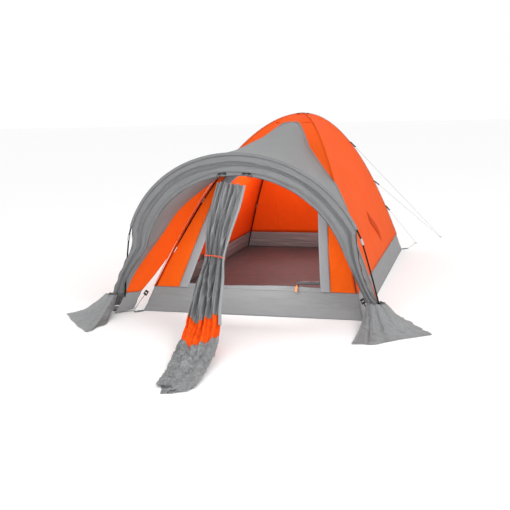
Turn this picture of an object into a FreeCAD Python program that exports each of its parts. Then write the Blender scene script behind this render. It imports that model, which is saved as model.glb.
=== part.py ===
"""Two-person alpine dome tent with a hooped front vestibule.

Frame: +Z up, ground at Z = 0, floor centred on the origin, the door end towards -Y.
Two dome poles cross over the rear half of the floor and a third pole is the vestibule hoop.
Every fabric panel is a thin closed solid whose edges are taken from the pole lines.
"""
import FreeCAD, Part
import Sketcher
import math
import os

Vec = FreeCAD.Vector

# ---------------------------------------------------------------- driving sizes (millimetres, degrees)
SIZES = [
    ("tent_width", 1300, "floor width"),
    ("tent_length", 2200, "floor length"),
    ("tent_height", 1110, "ridge height over the pole crossing"),
    ("crossing_back", 1500, "pole crossing behind the floor's front edge"),
    ("tub_height", 130, "height of the waterproof tub wall"),
    ("skin_thickness", 3, "thickness of a fabric panel with its seams"),
    ("floor_thickness", 3, "thickness of the groundsheet"),
    ("seam_gap", 0.6, "clearance between neighbouring pieces"),
    ("pole_diameter", 8.5, "outer diameter of a pole tube"),
    ("pole_wall", 0.8, "wall of a pole tube"),
    ("pole_inset", 17, "pole axis inside the fabric ridge"),
    ("ferrule_length", 36, "length of a pole joint sleeve"),
    ("ferrule_clearance", 1.8, "bore clearance of a pole joint sleeve"),
    ("ferrule_wall", 0.8, "wall of a pole joint sleeve"),
    ("hoop_height", 931, "top of the vestibule hoop"),
    ("hoop_radius", 698, "radius of the hoop's upper arc"),
    ("hoop_half_spread", 765, "hoop foot from the centre line"),
    ("hoop_foot_forward", 20, "hoop foot in front of the floor"),
    ("hoop_top_forward", 220, "hoop top in front of the floor"),
    ("sleeve_radius", 9, "outer radius of the hoop's fabric sleeve"),
    ("sleeve_end_angle", 24, "sleeve end above the hoop's centre"),
    ("valance_width", 120, "fabric band inside the hoop"),
    ("valance_foot_width", 45, "the same band at the hoop's foot"),
    ("base_height", 115, "lower edge of the vestibule wall panels"),
    ("roof_seam_height", 1058, "rear end of the grey roof panel"),
    ("seam_cross_height", 700, "height where the roof seam crosses the pole"),
    ("shoulder_width", 100, "orange border beside the pole on the front face"),
    ("roof_sag", 35, "hollow of the roof between hoop and dome"),
    ("slit_width", 70, "gap between vestibule wall and body at the base"),
    ("foot_band_clearance", 12, "lower edge of the vestibule wall's foot band above the ground"),
    ("door_base_half", 410, "half width of the doorway at the threshold"),
    ("door_top_half", 300, "half width of the doorway at the spring of its top"),
    ("door_spring_height", 690, "height where the doorway's top begins"),
    ("door_crown_height", 830, "crown of the doorway"),
    ("door_sill", 22, "orange strip between tub and doorway"),
    ("tape_width", 40, "zip tape round the doorway"),
    ("wall_recess", 60, "the inner front wall hangs this far inside at the ridge"),
    ("zip_offset", 16, "vestibule zip above the band's inner edge"),
    ("flap_reach", 1250, "hem of the gathered door in front of the floor"),
    ("cord_diameter", 2.5, "guyline diameter"),
    ("webbing_width", 25, "peg loop webbing width"),
    ("webbing_thickness", 2, "peg loop webbing thickness"),
    ("loop_length", 58, "peg loop length"),
    ("eyelet_bore", 12, "eyelet bore diameter"),
    ("eyelet_rim", 4, "eyelet rim width"),
    ("eyelet_height", 4, "eyelet height"),
    ("slider_length", 15, "zip slider along the zip"),
    ("slider_width", 10, "zip slider across the zip"),
    ("slider_depth", 7, "zip slider height"),
    ("slider_start_angle", 5, "vestibule sliders beside the top of the hoop"),
    ("ring_radius", 10, "radius of a ring's centre line"),
    ("pin_radius", 1.6, "radius of a pull's hinge pin"),
    ("pin_gap", 0.3, "play of a pull on its pin"),
    ("ring_arm", 34, "distance from a slider to its ring pull"),
    ("ring_wire", 1.6, "radius of a ring's wire"),
    ("door_slider_place", 260, "door slider from the centre line"),
    ("pull_length", 34, "door zip pull length"),
    ("pull_width", 13, "door zip pull width"),
    ("pull_depth", 3, "door zip pull thickness"),
    ("toggle_length", 26, "cord lock length"),
    ("toggle_radius", 9, "cord lock radius"),
    ("button_radius", 5.5, "cord lock button radius"),
    ("button_travel", 4, "cord lock button travel"),
    ("buckle_length", 30, "corner buckle length"),
    ("buckle_width", 24, "corner buckle width"),
    ("buckle_depth", 7, "corner buckle thickness"),
    ("tab_length", 42, "guy tab length"),
    ("lock_length", 20, "guyline lock length"),
    ("guy_upper_height", 880, "height of the upper guy tab"),
    ("guy_middle_height", 570, "height of the middle guy tab"),
    ("guy_lower_height", 365, "height of the lower guy tab"),
    ("anchor_far_side", 923, "far guyline anchor from the centre line"),
    ("anchor_far_back", 630, "far guyline anchor behind the floor"),
    ("anchor_near_side", 739, "near guyline anchor from the centre line"),
    ("anchor_near_back", 303, "near guyline anchor behind the floor"),
    ("vent_length", 260, "side vent length"),
    ("vent_width", 90, "side vent width"),
    ("hood_width", 300, "rear vent hood width"),
]

doc = FreeCAD.newDocument("hoop_tent")
sheet = doc.addObject("Spreadsheet::Sheet", "Sizes")
for row, (alias, value, note) in enumerate(SIZES, start=1):
    sheet.set(f"A{row}", note)
    sheet.set(f"B{row}", str(value))
    sheet.setAlias(f"B{row}", alias)
doc.recompute()


def size(alias):
    """A driving size, read from the sheet."""
    return float(sheet.get(alias))


half_width = size("tent_width") / 2
half_length = size("tent_length") / 2
ridge = size("tent_height")
front_reach = size("crossing_back")
rear_reach = size("tent_length") - front_reach
cross_y = -half_length + front_reach
thickness = size("skin_thickness")
gap = size("seam_gap")
tub = size("tub_height")
pole_radius = size("pole_diameter") / 2
ferrule_radius = pole_radius + size("ferrule_clearance") + size("ferrule_wall")
NODES = []
TIP_LENGTH = 18


# ---------------------------------------------------------------- helpers
def keep(obj, label):
    """Name an object as a sub-part of its own."""
    obj.Label = label
    NODES.append(obj)
    return obj


def feature(label, shape, placement=None):
    """A sub-part whose shape is made with Part's own functions."""
    obj = doc.addObject("Part::Feature", label)
    obj.Shape = shape
    if placement is not None:
        obj.Placement = placement
    return keep(obj, label)


def bind(obj, **expressions):
    """Bind properties of an object to cells of the sheet."""
    for name, expression in expressions.items():
        obj.setExpression(name, expression)
    return obj


def mix(first, second, share):
    """The point a share of the way between two points."""
    return first * (1 - share) + second * share


def mirrored(point, side):
    """The point on the given side (+1 right, -1 left)."""
    return Vec(point.x * side, point.y, point.z)


def skin_shape(outer, inner, columns, rows):
    """Closed solid between two smooth faces, each a function of u and v from 0 to 1."""
    faces = []
    edges = []
    for face in (outer, inner):
        grid = [[face(i / columns, j / rows) for j in range(rows + 1)] for i in range(columns + 1)]
        surface = Part.BSplineSurface()
        surface.interpolate(grid)
        u_low, u_high, v_low, v_high = surface.bounds()
        faces.append(surface.toShape())
        edges.append([surface.uIso(u_low).toShape(), surface.uIso(u_high).toShape(),
                      surface.vIso(v_low).toShape(), surface.vIso(v_high).toShape()])
    for outer_edge, inner_edge in zip(*edges):
        faces.append(Part.makeRuledSurface(outer_edge, inner_edge))
    shell = Part.makeShell(faces)
    shell.sewShape()
    solid = Part.makeSolid(shell)
    if solid.Volume < 0:
        solid.reverse()
    return solid


def tube_arc(first, middle, last, outer_radius, inner_radius):
    """Tube along the circular arc through three points."""
    arc = Part.Arc(first, middle, last)
    tangent = arc.tangent(arc.FirstParameter)[0]
    rings = [Part.Circle(first, tangent, radius) for radius in (outer_radius, inner_radius)]
    return Part.Wire(arc.toShape()).makePipe(ring_face(*rings))


def ring_face(outer, inner):
    """Flat face between two closed curves, one inside the other."""
    faces = [Part.Face(Part.Wire(curve.toShape())) for curve in (outer, inner)]
    return faces[0].cut(faces[1]).Faces[0]


def lengths(points):
    """Running length at each point of a polyline."""
    total = [0.0]
    for before, after in zip(points, points[1:]):
        total.append(total[-1] + before.distanceToPoint(after))
    return total


def at_length(points, total, distance):
    """The point at a distance along a polyline."""
    for index in range(1, len(points)):
        if total[index] >= distance or index == len(points) - 1:
            span = total[index] - total[index - 1]
            return mix(points[index - 1], points[index], (distance - total[index - 1]) / span)


# ---------------------------------------------------------------- pole lines and fabric ridges
def fraction(height, top=None):
    """Plan distance from the crossing, as a share, of a ridge at this height."""
    return math.sqrt(max(0.0, 1 - height / (top or ridge)))


def leg(side, end, share, inset=0.0, level=0.0):
    """Point of a dome ridge: share 0 at the crossing, 1 at the floor corner. end -1 front, +1 rear."""
    reach = (front_reach if end < 0 else rear_reach) - inset
    top = ridge - inset - level
    return Vec(side * (half_width - inset) * share, cross_y + end * reach * share, top * (1 - share ** 2))


hoop_slope = (size("hoop_top_forward") - size("hoop_foot_forward")) / size("hoop_height")
hoop_stretch = math.sqrt(1 + hoop_slope ** 2)
hoop_centre = size("hoop_height") * hoop_stretch - size("hoop_radius")


def hoop_plane(across, along, ahead=0.0):
    """Point of the leaning hoop plane: across is X, along runs up the plane, ahead is towards the door."""
    height = (along - ahead * hoop_slope) / hoop_stretch
    forward = hoop_slope * along / hoop_stretch + ahead / hoop_stretch
    return Vec(across, -half_length - size("hoop_foot_forward") - forward, height)


def tangent_angle(radius, foot):
    """Angle where a straight hoop leg to its foot leaves the arc."""
    return math.atan2(-hoop_centre, foot) + math.acos(radius / math.hypot(foot, hoop_centre))


def hoop_path(share, side=1, inwards=0.0, foot_inwards=None, ahead=0.0):
    """Point of a line that follows the hoop: share 0 at its top, 1 at its foot."""
    radius = size("hoop_radius") - inwards
    foot = size("hoop_half_spread") - (inwards if foot_inwards is None else foot_inwards)
    start = tangent_angle(radius, foot)
    arc_length = (math.pi / 2 - start) * radius
    foot_gap = math.hypot(foot - radius * math.cos(start), hoop_centre + radius * math.sin(start))
    distance = share * (arc_length + foot_gap)
    if distance <= arc_length:
        angle = math.pi / 2 - distance / radius
        across = radius * math.cos(angle)
        along = hoop_centre + radius * math.sin(angle)
    else:
        rest = (distance - arc_length) / foot_gap
        across = radius * math.cos(start) * (1 - rest) + foot * rest
        along = (hoop_centre + radius * math.sin(start)) * (1 - rest)
    return hoop_plane(side * across, along, ahead)


# ---------------------------------------------------------------- groundsheet tub
def tub_wedge(name, shrink_base, shrink_top, base):
    """Tapered block with the tub's sloping sides."""
    wedge = doc.addObject("Part::Wedge", name)
    top_share = "sqrt(1 - Sizes.tub_height / Sizes.tent_height)"
    centre = "(Sizes.crossing_back - Sizes.tent_length / 2)"
    rear = "(Sizes.tent_length - Sizes.crossing_back)"
    bind(wedge,
         Xmin=f"-Sizes.tent_width / 2 + {shrink_base}",
         Xmax=f"Sizes.tent_width / 2 - {shrink_base}",
         Zmin=f"-Sizes.tent_length / 2 + {shrink_base}",
         Zmax=f"Sizes.tent_length / 2 - {shrink_base}",
         Ymin=base,
         Ymax="Sizes.tub_height",
         X2min=f"-Sizes.tent_width / 2 * {top_share} + {shrink_top}",
         X2max=f"Sizes.tent_width / 2 * {top_share} - {shrink_top}",
         Z2min=f"-{centre} - {rear} * {top_share} + {shrink_top}",
         Z2max=f"-{centre} + Sizes.crossing_back * {top_share} - {shrink_top}")
    wedge.Placement = FreeCAD.Placement(Vec(0, 0, 0), FreeCAD.Rotation(Vec(1, 0, 0), 90))
    return wedge


def build_tub():
    """Groundsheet with its raised waterproof wall."""
    cut = doc.addObject("Part::Cut", "floor_tub")
    cut.Base = tub_wedge("tub_outside", "0", "0", "0")
    cut.Tool = tub_wedge("tub_inside", "Sizes.skin_thickness * 1.3", "Sizes.skin_thickness",
                         "Sizes.floor_thickness")
    keep(cut, "floor_tub")


# ---------------------------------------------------------------- dome walls
top_share = 0.045
base_share = fraction(tub + thickness)
mitre = thickness + gap


def side_wall(side):
    """Orange side wall between the front and the rear ridge on one side."""
    def face(depth):
        def point(u, v):
            share = top_share + (base_share - top_share) * u
            front = leg(side, -1, share).y + mitre
            rear = leg(side, 1, share).y - mitre
            normal = Vec(side * 2 * ridge * share, 0, half_width).normalize()
            at = Vec(side * half_width * share, front + (rear - front) * v, ridge * (1 - share ** 2))
            return at - normal * depth
        return point
    name = "side_wall_right" if side > 0 else "side_wall_left"
    feature(name, skin_shape(face(0), face(thickness), 14, 4))


def rear_point(share, across, depth=0.0):
    """Point of the rear wall: across -1 to 1, depth under its outer face."""
    normal = Vec(0, 2 * ridge * share, rear_reach).normalize()
    limit = half_width * share - mitre
    return Vec(limit * across, cross_y + rear_reach * share, ridge * (1 - share ** 2)) - normal * depth


def build_rear_wall():
    """Orange rear wall between the two rear ridges."""
    def face(depth):
        return lambda u, v: rear_point(top_share + (base_share - top_share) * u, 2 * v - 1, depth)
    feature("rear_wall", skin_shape(face(0), face(thickness), 14, 4))


def front_wall_y(height):
    """Y of the inner front wall at this height."""
    recess = size("wall_recess") * (height - tub) / (ridge - tub)
    return cross_y - front_reach * fraction(height) + recess


def front_wall_point(height, across, ahead=0.0):
    """Point of the inner front wall: across -1 to 1."""
    limit = half_width * fraction(height) - 2 * size("pole_inset")
    return Vec(limit * across, front_wall_y(height) - ahead, height)


def doorway_prism(margin):
    """Block that cuts the doorway, larger by a margin all round."""
    base = tub + size("door_sill") - margin
    spring = size("door_spring_height")
    crown = size("door_crown_height") + margin
    low = size("door_base_half") + margin
    high = size("door_top_half") + margin
    start = -2 * half_length
    corners = [Vec(-low, start, base), Vec(low, start, base), Vec(high, start, spring)]
    edges = [Part.LineSegment(corners[0], corners[1]).toShape()]
    edges.append(Part.LineSegment(corners[1], corners[2]).toShape())
    edges.append(Part.Arc(corners[2], Vec(0, start, crown), Vec(-high, start, spring)).toShape())
    edges.append(Part.LineSegment(Vec(-high, start, spring), corners[0]).toShape())
    return Part.Face(Part.Wire(edges)).extrude(Vec(0, 3 * half_length, 0))


def build_front_wall():
    """Inner front wall with its doorway, and the zip tape round the doorway."""
    low = tub + gap
    high = size("door_crown_height") + size("tape_width") + 60
    def face(ahead):
        return lambda u, v: front_wall_point(low + (high - low) * u, 2 * v - 1, ahead)
    wall = skin_shape(face(0), face(-thickness), 12, 4)
    feature("front_wall", wall.cut(doorway_prism(0)))
    tape = skin_shape(face(gap + thickness), face(gap), 12, 4)
    ring = doorway_prism(size("tape_width") / 2).cut(doorway_prism(-size("tape_width") / 2))
    feature("doorway_zip_tape", tape.common(ring))


# ---------------------------------------------------------------- roof panel and vestibule walls
def seam_point(height, side):
    """Seam between the grey roof panel and the orange panels, on one side."""
    base = leg(1, -1, fraction(height))
    cross = size("seam_cross_height")
    rise = height - cross
    if rise >= 0:
        shift = size("shoulder_width") * min(1.0, rise / 200) ** 0.8
        point = base + Vec(-shift, 0, 0)
    else:
        ahead = 160 * math.sin(math.pi / 2 * min(1.0, -rise / 200)) - 8 * max(0.0, -rise - 200) / 200
        point = base + Vec(0.42 * ahead, -0.92 * ahead, 0)
        low = max(0.0, -rise - 200) / (cross - 200 - size("base_height"))
        foot = hoop_path(hoop_base_share) + Vec(-4, 16, 0)
        point = mix(point, Vec(foot.x, foot.y, height), low ** 2)
    return mirrored(point, side)


def find_hoop_share(height):
    """Share along the hoop at this height on its straight leg."""
    low, high = 0.5, 1.0
    for _ in range(40):
        middle = (low + high) / 2
        if hoop_path(middle).z > height:
            low = middle
        else:
            high = middle
    return low


hoop_base_share = find_hoop_share(size("base_height"))
sleeve_clear = size("sleeve_radius") + gap


def roof_edge(share, side):
    """Rear edge of the roof panel: share 0 on the centre line, 1 at its lowest point."""
    drop = size("roof_seam_height") - size("base_height")
    height = size("base_height") + drop * math.cos(math.pi / 2 * share) ** 1.2
    point = seam_point(height, side)
    close = min(1.0, share / 0.08)
    return Vec(point.x * close, point.y, point.z)


def build_roof_panel():
    """Grey panel from the hoop back to the dome, down both sides to the ground band."""
    def face(depth):
        def point(u, v):
            side = 1 if v >= 0.5 else -1
            share = abs(2 * v - 1)
            front = hoop_path(share * hoop_base_share, side) + Vec(0, sleeve_clear, 0)
            back = roof_edge(share, side)
            back = back + (front - back).normalize() * (gap + 1)
            at = mix(front, back, u)
            centre = Vec(0, at.y, 0.3 * ridge * (1 - share))
            inwards = (centre - at).normalize()
            sag = size("roof_sag") * 4 * u * (1 - u) * (1 - 0.6 * share)
            return at + inwards * (sag + depth)
        return point
    feature("roof_panel", skin_shape(face(0), face(thickness), 8, 32))


def build_shoulder(side):
    """Orange border of the front face, wrapped over the pole."""
    low = size("seam_cross_height") + 25
    high = size("roof_seam_height") - 12
    def face(depth):
        def point(u, v):
            height = high + (low - high) * u
            ridge_line = leg(side, -1, fraction(height)) + Vec(-side * mitre, 0, 0)
            seam = seam_point(height, side) + Vec(side * mitre, 0, 0)
            at = mix(ridge_line, seam, v)
            return at + Vec(0, 0.75, -0.66) * depth
        return point
    name = "shoulder_right" if side > 0 else "shoulder_left"
    feature(name, skin_shape(face(0), face(thickness), 10, 3))


def build_crown():
    """Orange cap of the front face between the grey panel and the crossing."""
    low = fraction(size("roof_seam_height") + 3)
    def face(depth):
        def point(u, v):
            share = top_share + (low - top_share) * u
            at = leg(1, -1, share)
            return Vec((at.x - mitre) * (2 * v - 1), at.y, at.z) + Vec(0, 0.35, -0.94) * depth
        return point
    feature("crown_panel", skin_shape(face(0), face(thickness), 5, 4))


def build_vestibule_wall(side):
    """Orange vestibule side wall between the roof seam and the body, open in a slit at its foot."""
    high = size("seam_cross_height") - 60
    low = size("base_height")
    def face(depth):
        def point(u, v):
            height = high + (low - high) * u
            body = leg(side, -1, fraction(height))
            seam = seam_point(height, side)
            forward = (seam - body).normalize()
            open_slit = size("slit_width") * max(0.0, (300 - height) / (300 - low)) ** 1.1
            start = body + forward * (2 * mitre + open_slit)
            end = seam - forward * (gap + 7)
            at = mix(start, end, v)
            outwards = Vec(side * 0.9, -0.3, 0.2).normalize()
            return at - outwards * depth
        return point
    name = "vestibule_wall_right" if side > 0 else "vestibule_wall_left"
    feature(name, skin_shape(face(0), face(thickness), 10, 3))


def build_porch_foot(side):
    """Grey band from the vestibule wall's lower edge down to the ground, beside the slit."""
    high = size("base_height") - 4
    low = size("foot_band_clearance")
    body = leg(side, -1, fraction(high))
    seam = seam_point(size("base_height"), side)
    forward = (seam - body).normalize()
    start = body + forward * (2 * mitre + size("slit_width"))
    end = seam - forward * (gap + 7)
    foot = hoop_path(1, side)
    ground_start = Vec(foot.x - side * 51, foot.y + 24, low)
    ground_end = Vec(foot.x - side * 23, foot.y - 26, low)
    outwards = Vec(side * 0.9, -0.3, 0.2).normalize()
    def face(depth):
        def point(u, v):
            top = mix(start, end, v)
            top = Vec(top.x, top.y, high)
            return mix(top, mix(ground_start, ground_end, v), u) - outwards * depth
        return point
    name = "porch_foot_right" if side > 0 else "porch_foot_left"
    feature(name, skin_shape(face(0), face(thickness), 3, 3))


# ---------------------------------------------------------------- hoop sleeve, band and snow skirts
def build_hoop_sleeve():
    """Fabric sleeve round the upper arc of the hoop pole."""
    radius = size("hoop_radius")
    angle = math.radians(size("sleeve_end_angle"))
    along = hoop_centre + radius * math.sin(angle)
    ends = [hoop_plane(side * radius * math.cos(angle), along) for side in (-1, 1)]
    top = hoop_plane(0, hoop_centre + radius)
    bore = ferrule_radius + gap
    feature("hoop_sleeve", tube_arc(ends[0], top, ends[1], size("sleeve_radius"), bore))


def build_valance():
    """Grey band that hangs inside the hoop, with the door zip along its inner edge."""
    clear = size("sleeve_radius") + gap
    outlines = []
    for inwards, foot_inwards in ((clear, clear), (size("valance_width"), size("valance_foot_width"))):
        radius = size("hoop_radius") - inwards
        foot = size("hoop_half_spread") - foot_inwards
        start = tangent_angle(radius, foot)
        level = size("base_height") * hoop_stretch
        tangent_along = hoop_centre + radius * math.sin(start)
        share = level / tangent_along
        tangent_across = radius * math.cos(start)
        low_across = foot + (tangent_across - foot) * share
        outlines.append([
            hoop_plane(-low_across, level),
            hoop_plane(-tangent_across, tangent_along),
            hoop_plane(0, hoop_centre + radius),
            hoop_plane(tangent_across, tangent_along),
            hoop_plane(low_across, level)])
    outer, inner = outlines
    edges = []
    for line in (outer, inner):
        edges.append(Part.LineSegment(line[0], line[1]).toShape())
        edges.append(Part.Arc(line[1], line[2], line[3]).toShape())
        edges.append(Part.LineSegment(line[3], line[4]).toShape())
    for index in (0, 4):
        edges.append(Part.LineSegment(outer[index], inner[index]).toShape())
    wire = Part.Wire(Part.sortEdges(edges)[0])
    ahead = hoop_plane(0, 0, 1) - hoop_plane(0, 0, 0)
    solid = Part.Face(wire).extrude(ahead * thickness)
    solid.translate(ahead * (-thickness / 2))
    feature("hoop_valance", solid)


def build_snow_skirt(side):
    """Ground skirt that fans out from the hoop's foot, its hem lying on the ground."""
    foot = hoop_path(1)
    top_z = size("base_height") - 4
    neck = [(-88, -22), (-70, -42), (-20, -56), (18, -34), (20, 10), (-8, 40), (-48, 52)]
    if side > 0:
        hem = [(-104, -424), (6, -416), (110, -310), (268, -192), (190, -60), (100, 100), (50, 150)]
    else:
        hem = [(-104, -424), (6, -416), (110, -310), (290, -160), (195, -50), (100, 100), (50, 150)]
    def face(depth):
        def point(u, v):
            place = v * (len(neck) - 1)
            index = min(int(place), len(neck) - 2)
            share = place - index
            spots = []
            for outline in (neck, hem):
                x = outline[index][0] * (1 - share) + outline[index + 1][0] * share
                y = outline[index][1] * (1 - share) + outline[index + 1][1] * share
                spots.append((x, y))
            x = spots[0][0] * (1 - u) + spots[1][0] * u
            y = spots[0][1] * (1 - u) + spots[1][1] * u
            height = top_z * (1 - u) ** 1.7 + (thickness + 1) * u - depth
            spread = 0.7 * depth * (1 - u)
            away = Vec(x + 20, y, 0).normalize()
            return Vec(side * (foot.x + x - away.x * spread), foot.y + y - away.y * spread, height)
        return point
    name = "snow_skirt_right" if side > 0 else "snow_skirt_left"
    feature(name, skin_shape(face(0), face(thickness), 8, 18))


# ---------------------------------------------------------------- gathered vestibule door
def flap_route():
    """Centre points of the gathered door with half width and half thickness, from its top to its hem."""
    start = hoop_plane(0, (size("hoop_height") - size("valance_width") * 1.05 - 34) * hoop_stretch, 0)
    reach = size("flap_reach") - size("hoop_top_forward")
    stations = [
        (-24, 0.00, 1.000, 79, 13), (-39, 0.060, 0.860, 81, 16), (-59, 0.125, 0.700, 71, 17),
        (-67, 0.180, 0.525, 53, 18), (-59, 0.300, 0.378, 74, 20), (-52, 0.400, 0.240, 82, 20),
        (-37, 0.490, 0.142, 90, 18), (-18, 0.630, 0.070, 100, 15), (-1, 0.775, 0.034, 96, 12),
        (12, 0.900, 0.0165, 92, 9), (18, 1.000, 0.0125, 88, 7)]
    route = []
    for across, ahead, up, half_wide, half_thick in stations:
        centre = Vec(across, start.y - reach * ahead, start.z * up)
        route.append((centre, half_wide, half_thick))
    return route


def flap_between(name, first, last, from_gap=0.0):
    """One length of the gathered door, lofted through flat oval sections."""
    route = flap_route()
    wires = []
    for index in range(first, last + 1):
        centre, half_wide, half_thick = route[index]
        before = route[max(index - 1, 0)][0]
        after = route[min(index + 1, len(route) - 1)][0]
        along = (after - before).normalize()
        wide = Vec(1, 0, 0) - along * along.x
        wide.normalize()
        if index == first:
            centre = centre + along * from_gap
        oval = Part.Ellipse(centre + wide * half_wide, centre + along.cross(wide) * half_thick, centre)
        wires.append(Part.Wire(oval.toShape()))
    feature(name, Part.makeLoft(wires, True, False))


def build_flap():
    """Gathered door: grey upper length, orange band and grey snow skirt."""
    flap_between("gathered_door", 0, 5)
    flap_between("door_band", 5, 7, gap)
    flap_between("door_skirt", 7, 10, gap)


def build_tie():
    """Elastic loop round the gathered door."""
    route = flap_route()
    centre, half_wide, half_thick = route[3]
    along = (route[4][0] - route[2][0]).normalize()
    wide = (Vec(1, 0, 0) - along * along.x).normalize()
    thick = along.cross(wide)
    clear = 4.0
    elastic = 4.0
    ovals = []
    for grow in (clear + elastic, clear):
        tip = centre + wide * (half_wide + grow)
        crown = centre + thick * (half_thick + grow)
        ovals.append(Part.Ellipse(tip, crown, centre))
    solid = ring_face(*ovals).extrude(along * elastic)
    solid.translate(along * (-elastic / 2))
    feature("tie_loop", solid)
    return centre - wide * (half_wide + clear + elastic), along


# ---------------------------------------------------------------- poles
def dome_pole_line(side, level):
    """Fine points along a dome pole, from a front corner over the crossing to the opposite rear corner."""
    inset = size("pole_inset")
    steps = 60
    blend = 0.20
    foot = fraction(size("floor_thickness") + TIP_LENGTH + 4)
    after = blend * 2
    front = [leg(side, -1, foot - (foot - blend) * i / steps, inset, level) for i in range(steps + 1)]
    rear = [leg(-side, 1, after + (foot - after) * i / steps, inset, level) for i in range(steps + 1)]
    corner = leg(side, -1, 0, inset, level)
    corner = Vec(0, corner.y, corner.z)
    bend = []
    for i in range(1, 20):
        t = i / 20
        bend.append(mix(mix(front[-1], corner, t), mix(corner, rear[0], t), t))
    return front + bend + rear


def hoop_pole_line():
    """Fine points along the hoop pole from foot to foot."""
    steps = 120
    shares = [1 - 2 * i / steps for i in range(steps + 1)]
    line = [hoop_path(abs(share), -1 if share > 0 else 1) for share in shares]
    return [p for p in line if p.z >= TIP_LENGTH + 4]


def build_pole(name, line, count):
    """Pole sections end to end along a line; returns the joint sleeves and the two end directions."""
    total = lengths(line)
    step = total[-1] / count
    tubes = []
    sleeves = []
    for index in range(count):
        start = index * step + (0.3 if index else 0)
        end = (index + 1) * step - (0.3 if index < count - 1 else 0)
        spots = [at_length(line, total, d) for d in (start, (start + end) / 2, end)]
        tubes.append(tube_arc(*spots, pole_radius, pole_radius - size("pole_wall")))
        if index:
            half = size("ferrule_length") / 2
            spots = [at_length(line, total, index * step + d) for d in (-half, 0, half)]
            sleeves.append(tube_arc(*spots, ferrule_radius, ferrule_radius - size("ferrule_wall")))
    feature(name, Part.makeCompound(tubes))
    ends = [(line[0], (line[0] - line[1]).normalize()), (line[-1], (line[-1] - line[-2]).normalize())]
    return sleeves, ends


def build_poles():
    """Two dome poles, the hoop pole, their joint sleeves and their six end tips."""
    sleeves = []
    ends = []
    crossing_level = 2 * pole_radius + 4
    for name, line, count in (("dome_pole_left", dome_pole_line(-1, 0), 9),
                              ("dome_pole_right", dome_pole_line(1, crossing_level), 9),
                              ("hoop_pole", hoop_pole_line(), 6)):
        more, tips = build_pole(name, line, count)
        sleeves += more
        ends += tips
    feature("pole_ferrules", Part.makeCompound(sleeves))
    tips = []
    for place, direction in ends:
        half = TIP_LENGTH / 2
        start = place + direction * 0.4
        plug = Part.makeCylinder(pole_radius, half, start, direction)
        point = Part.makeCone(pole_radius, pole_radius / 2, half, start + direction * half, direction)
        tips.append(plug.fuse(point))
    feature("pole_tips", Part.makeCompound(tips))


# ---------------------------------------------------------------- small hardware
def rectangle(sketch, width, height):
    """Rectangle centred on the sketch's origin, bound to two expressions."""
    half = 5
    spots = [Vec(-half, -half, 0), Vec(half, -half, 0), Vec(half, half, 0), Vec(-half, half, 0)]
    first = sketch.GeometryCount
    for index in range(4):
        sketch.addGeometry(Part.LineSegment(spots[index], spots[(index + 1) % 4]), False)
    for index in range(4):
        after = first + (index + 1) % 4
        sketch.addConstraint(Sketcher.Constraint("Coincident", first + index, 2, after, 1))
    for index in (0, 2):
        sketch.addConstraint(Sketcher.Constraint("Horizontal", first + index))
        sketch.addConstraint(Sketcher.Constraint("Vertical", first + index + 1))
    sketch.addConstraint(Sketcher.Constraint("Symmetric", first, 1, first + 1, 2, -1, 1))
    number = sketch.addConstraint(Sketcher.Constraint("DistanceX", first, 1, first, 2, 10))
    sketch.setExpression(f"Constraints[{number}]", width)
    number = sketch.addConstraint(Sketcher.Constraint("DistanceY", first + 1, 1, first + 1, 2, 10))
    sketch.setExpression(f"Constraints[{number}]", height)


def along_axis(place, direction, roll=0.0):
    """Placement that turns the local Z axis into a direction."""
    turn = FreeCAD.Rotation(Vec(0, 0, 1), direction)
    return FreeCAD.Placement(place, turn.multiply(FreeCAD.Rotation(Vec(0, 0, 1), roll)))


def plate_body(label, width, height, depth, placement, round_over=0.0, window=None):
    """Moulded plate: a padded rectangle with rounded edges and an optional window."""
    body = doc.addObject("PartDesign::Body", label)
    plane = [p for p in body.Origin.OriginFeatures if p.Role == "XY_Plane"][0]
    sketch = body.newObject("Sketcher::SketchObject", label + "_outline")
    sketch.AttachmentSupport = (plane, "")
    sketch.MapMode = "FlatFace"
    rectangle(sketch, width, height)
    pad = body.newObject("PartDesign::Pad", label + "_pad")
    pad.Profile = sketch
    pad.Length = 5
    pad.setExpression("Length", depth)
    pad.Midplane = True
    doc.recompute()
    if round_over:
        fillet = body.newObject("PartDesign::Fillet", label + "_round")
        fillet.Base = (pad, [f"Edge{i + 1}" for i in range(len(pad.Shape.Edges))])
        fillet.Radius = round_over
        doc.recompute()
    if window:
        hole = body.newObject("Sketcher::SketchObject", label + "_window")
        hole.AttachmentSupport = (plane, "")
        hole.MapMode = "FlatFace"
        rectangle(hole, window[0], window[1])
        pocket = body.newObject("PartDesign::Pocket", label + "_opening")
        pocket.Profile = hole
        pocket.Type = "ThroughAll"
        pocket.Midplane = True
        doc.recompute()
    body.Placement = placement
    return body


def ring(label, place, normal):
    """Round wire ring."""
    torus = doc.addObject("Part::Torus", label)
    bind(torus, Radius1="Sizes.ring_radius", Radius2="Sizes.ring_wire")
    torus.Placement = along_axis(place, normal)
    return torus


def group(label, parts):
    """Several separate solids that share one node."""
    compound = doc.addObject("Part::Compound", label)
    compound.Links = parts
    return keep(compound, label)


def vestibule_slider_place(side):
    """Centre of a vestibule zip slider, in front of the band, and the direction of its zip."""
    radius = size("hoop_radius") - size("valance_width") + size("zip_offset")
    angle = math.radians(90 - side * size("slider_start_angle"))
    ahead = thickness / 2 + gap + size("slider_depth") / 2
    place = hoop_plane(radius * math.cos(angle), hoop_centre + radius * math.sin(angle), ahead)
    normal = (hoop_plane(0, 0, 1) - hoop_plane(0, 0, 0)).normalize()
    return place, normal, angle


def fused(label, parts):
    """One sub-part made of several touching bodies."""
    joined = doc.addObject("Part::MultiFuse", label)
    joined.Shapes = parts
    joined.Refine = True
    return keep(joined, label)


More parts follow.
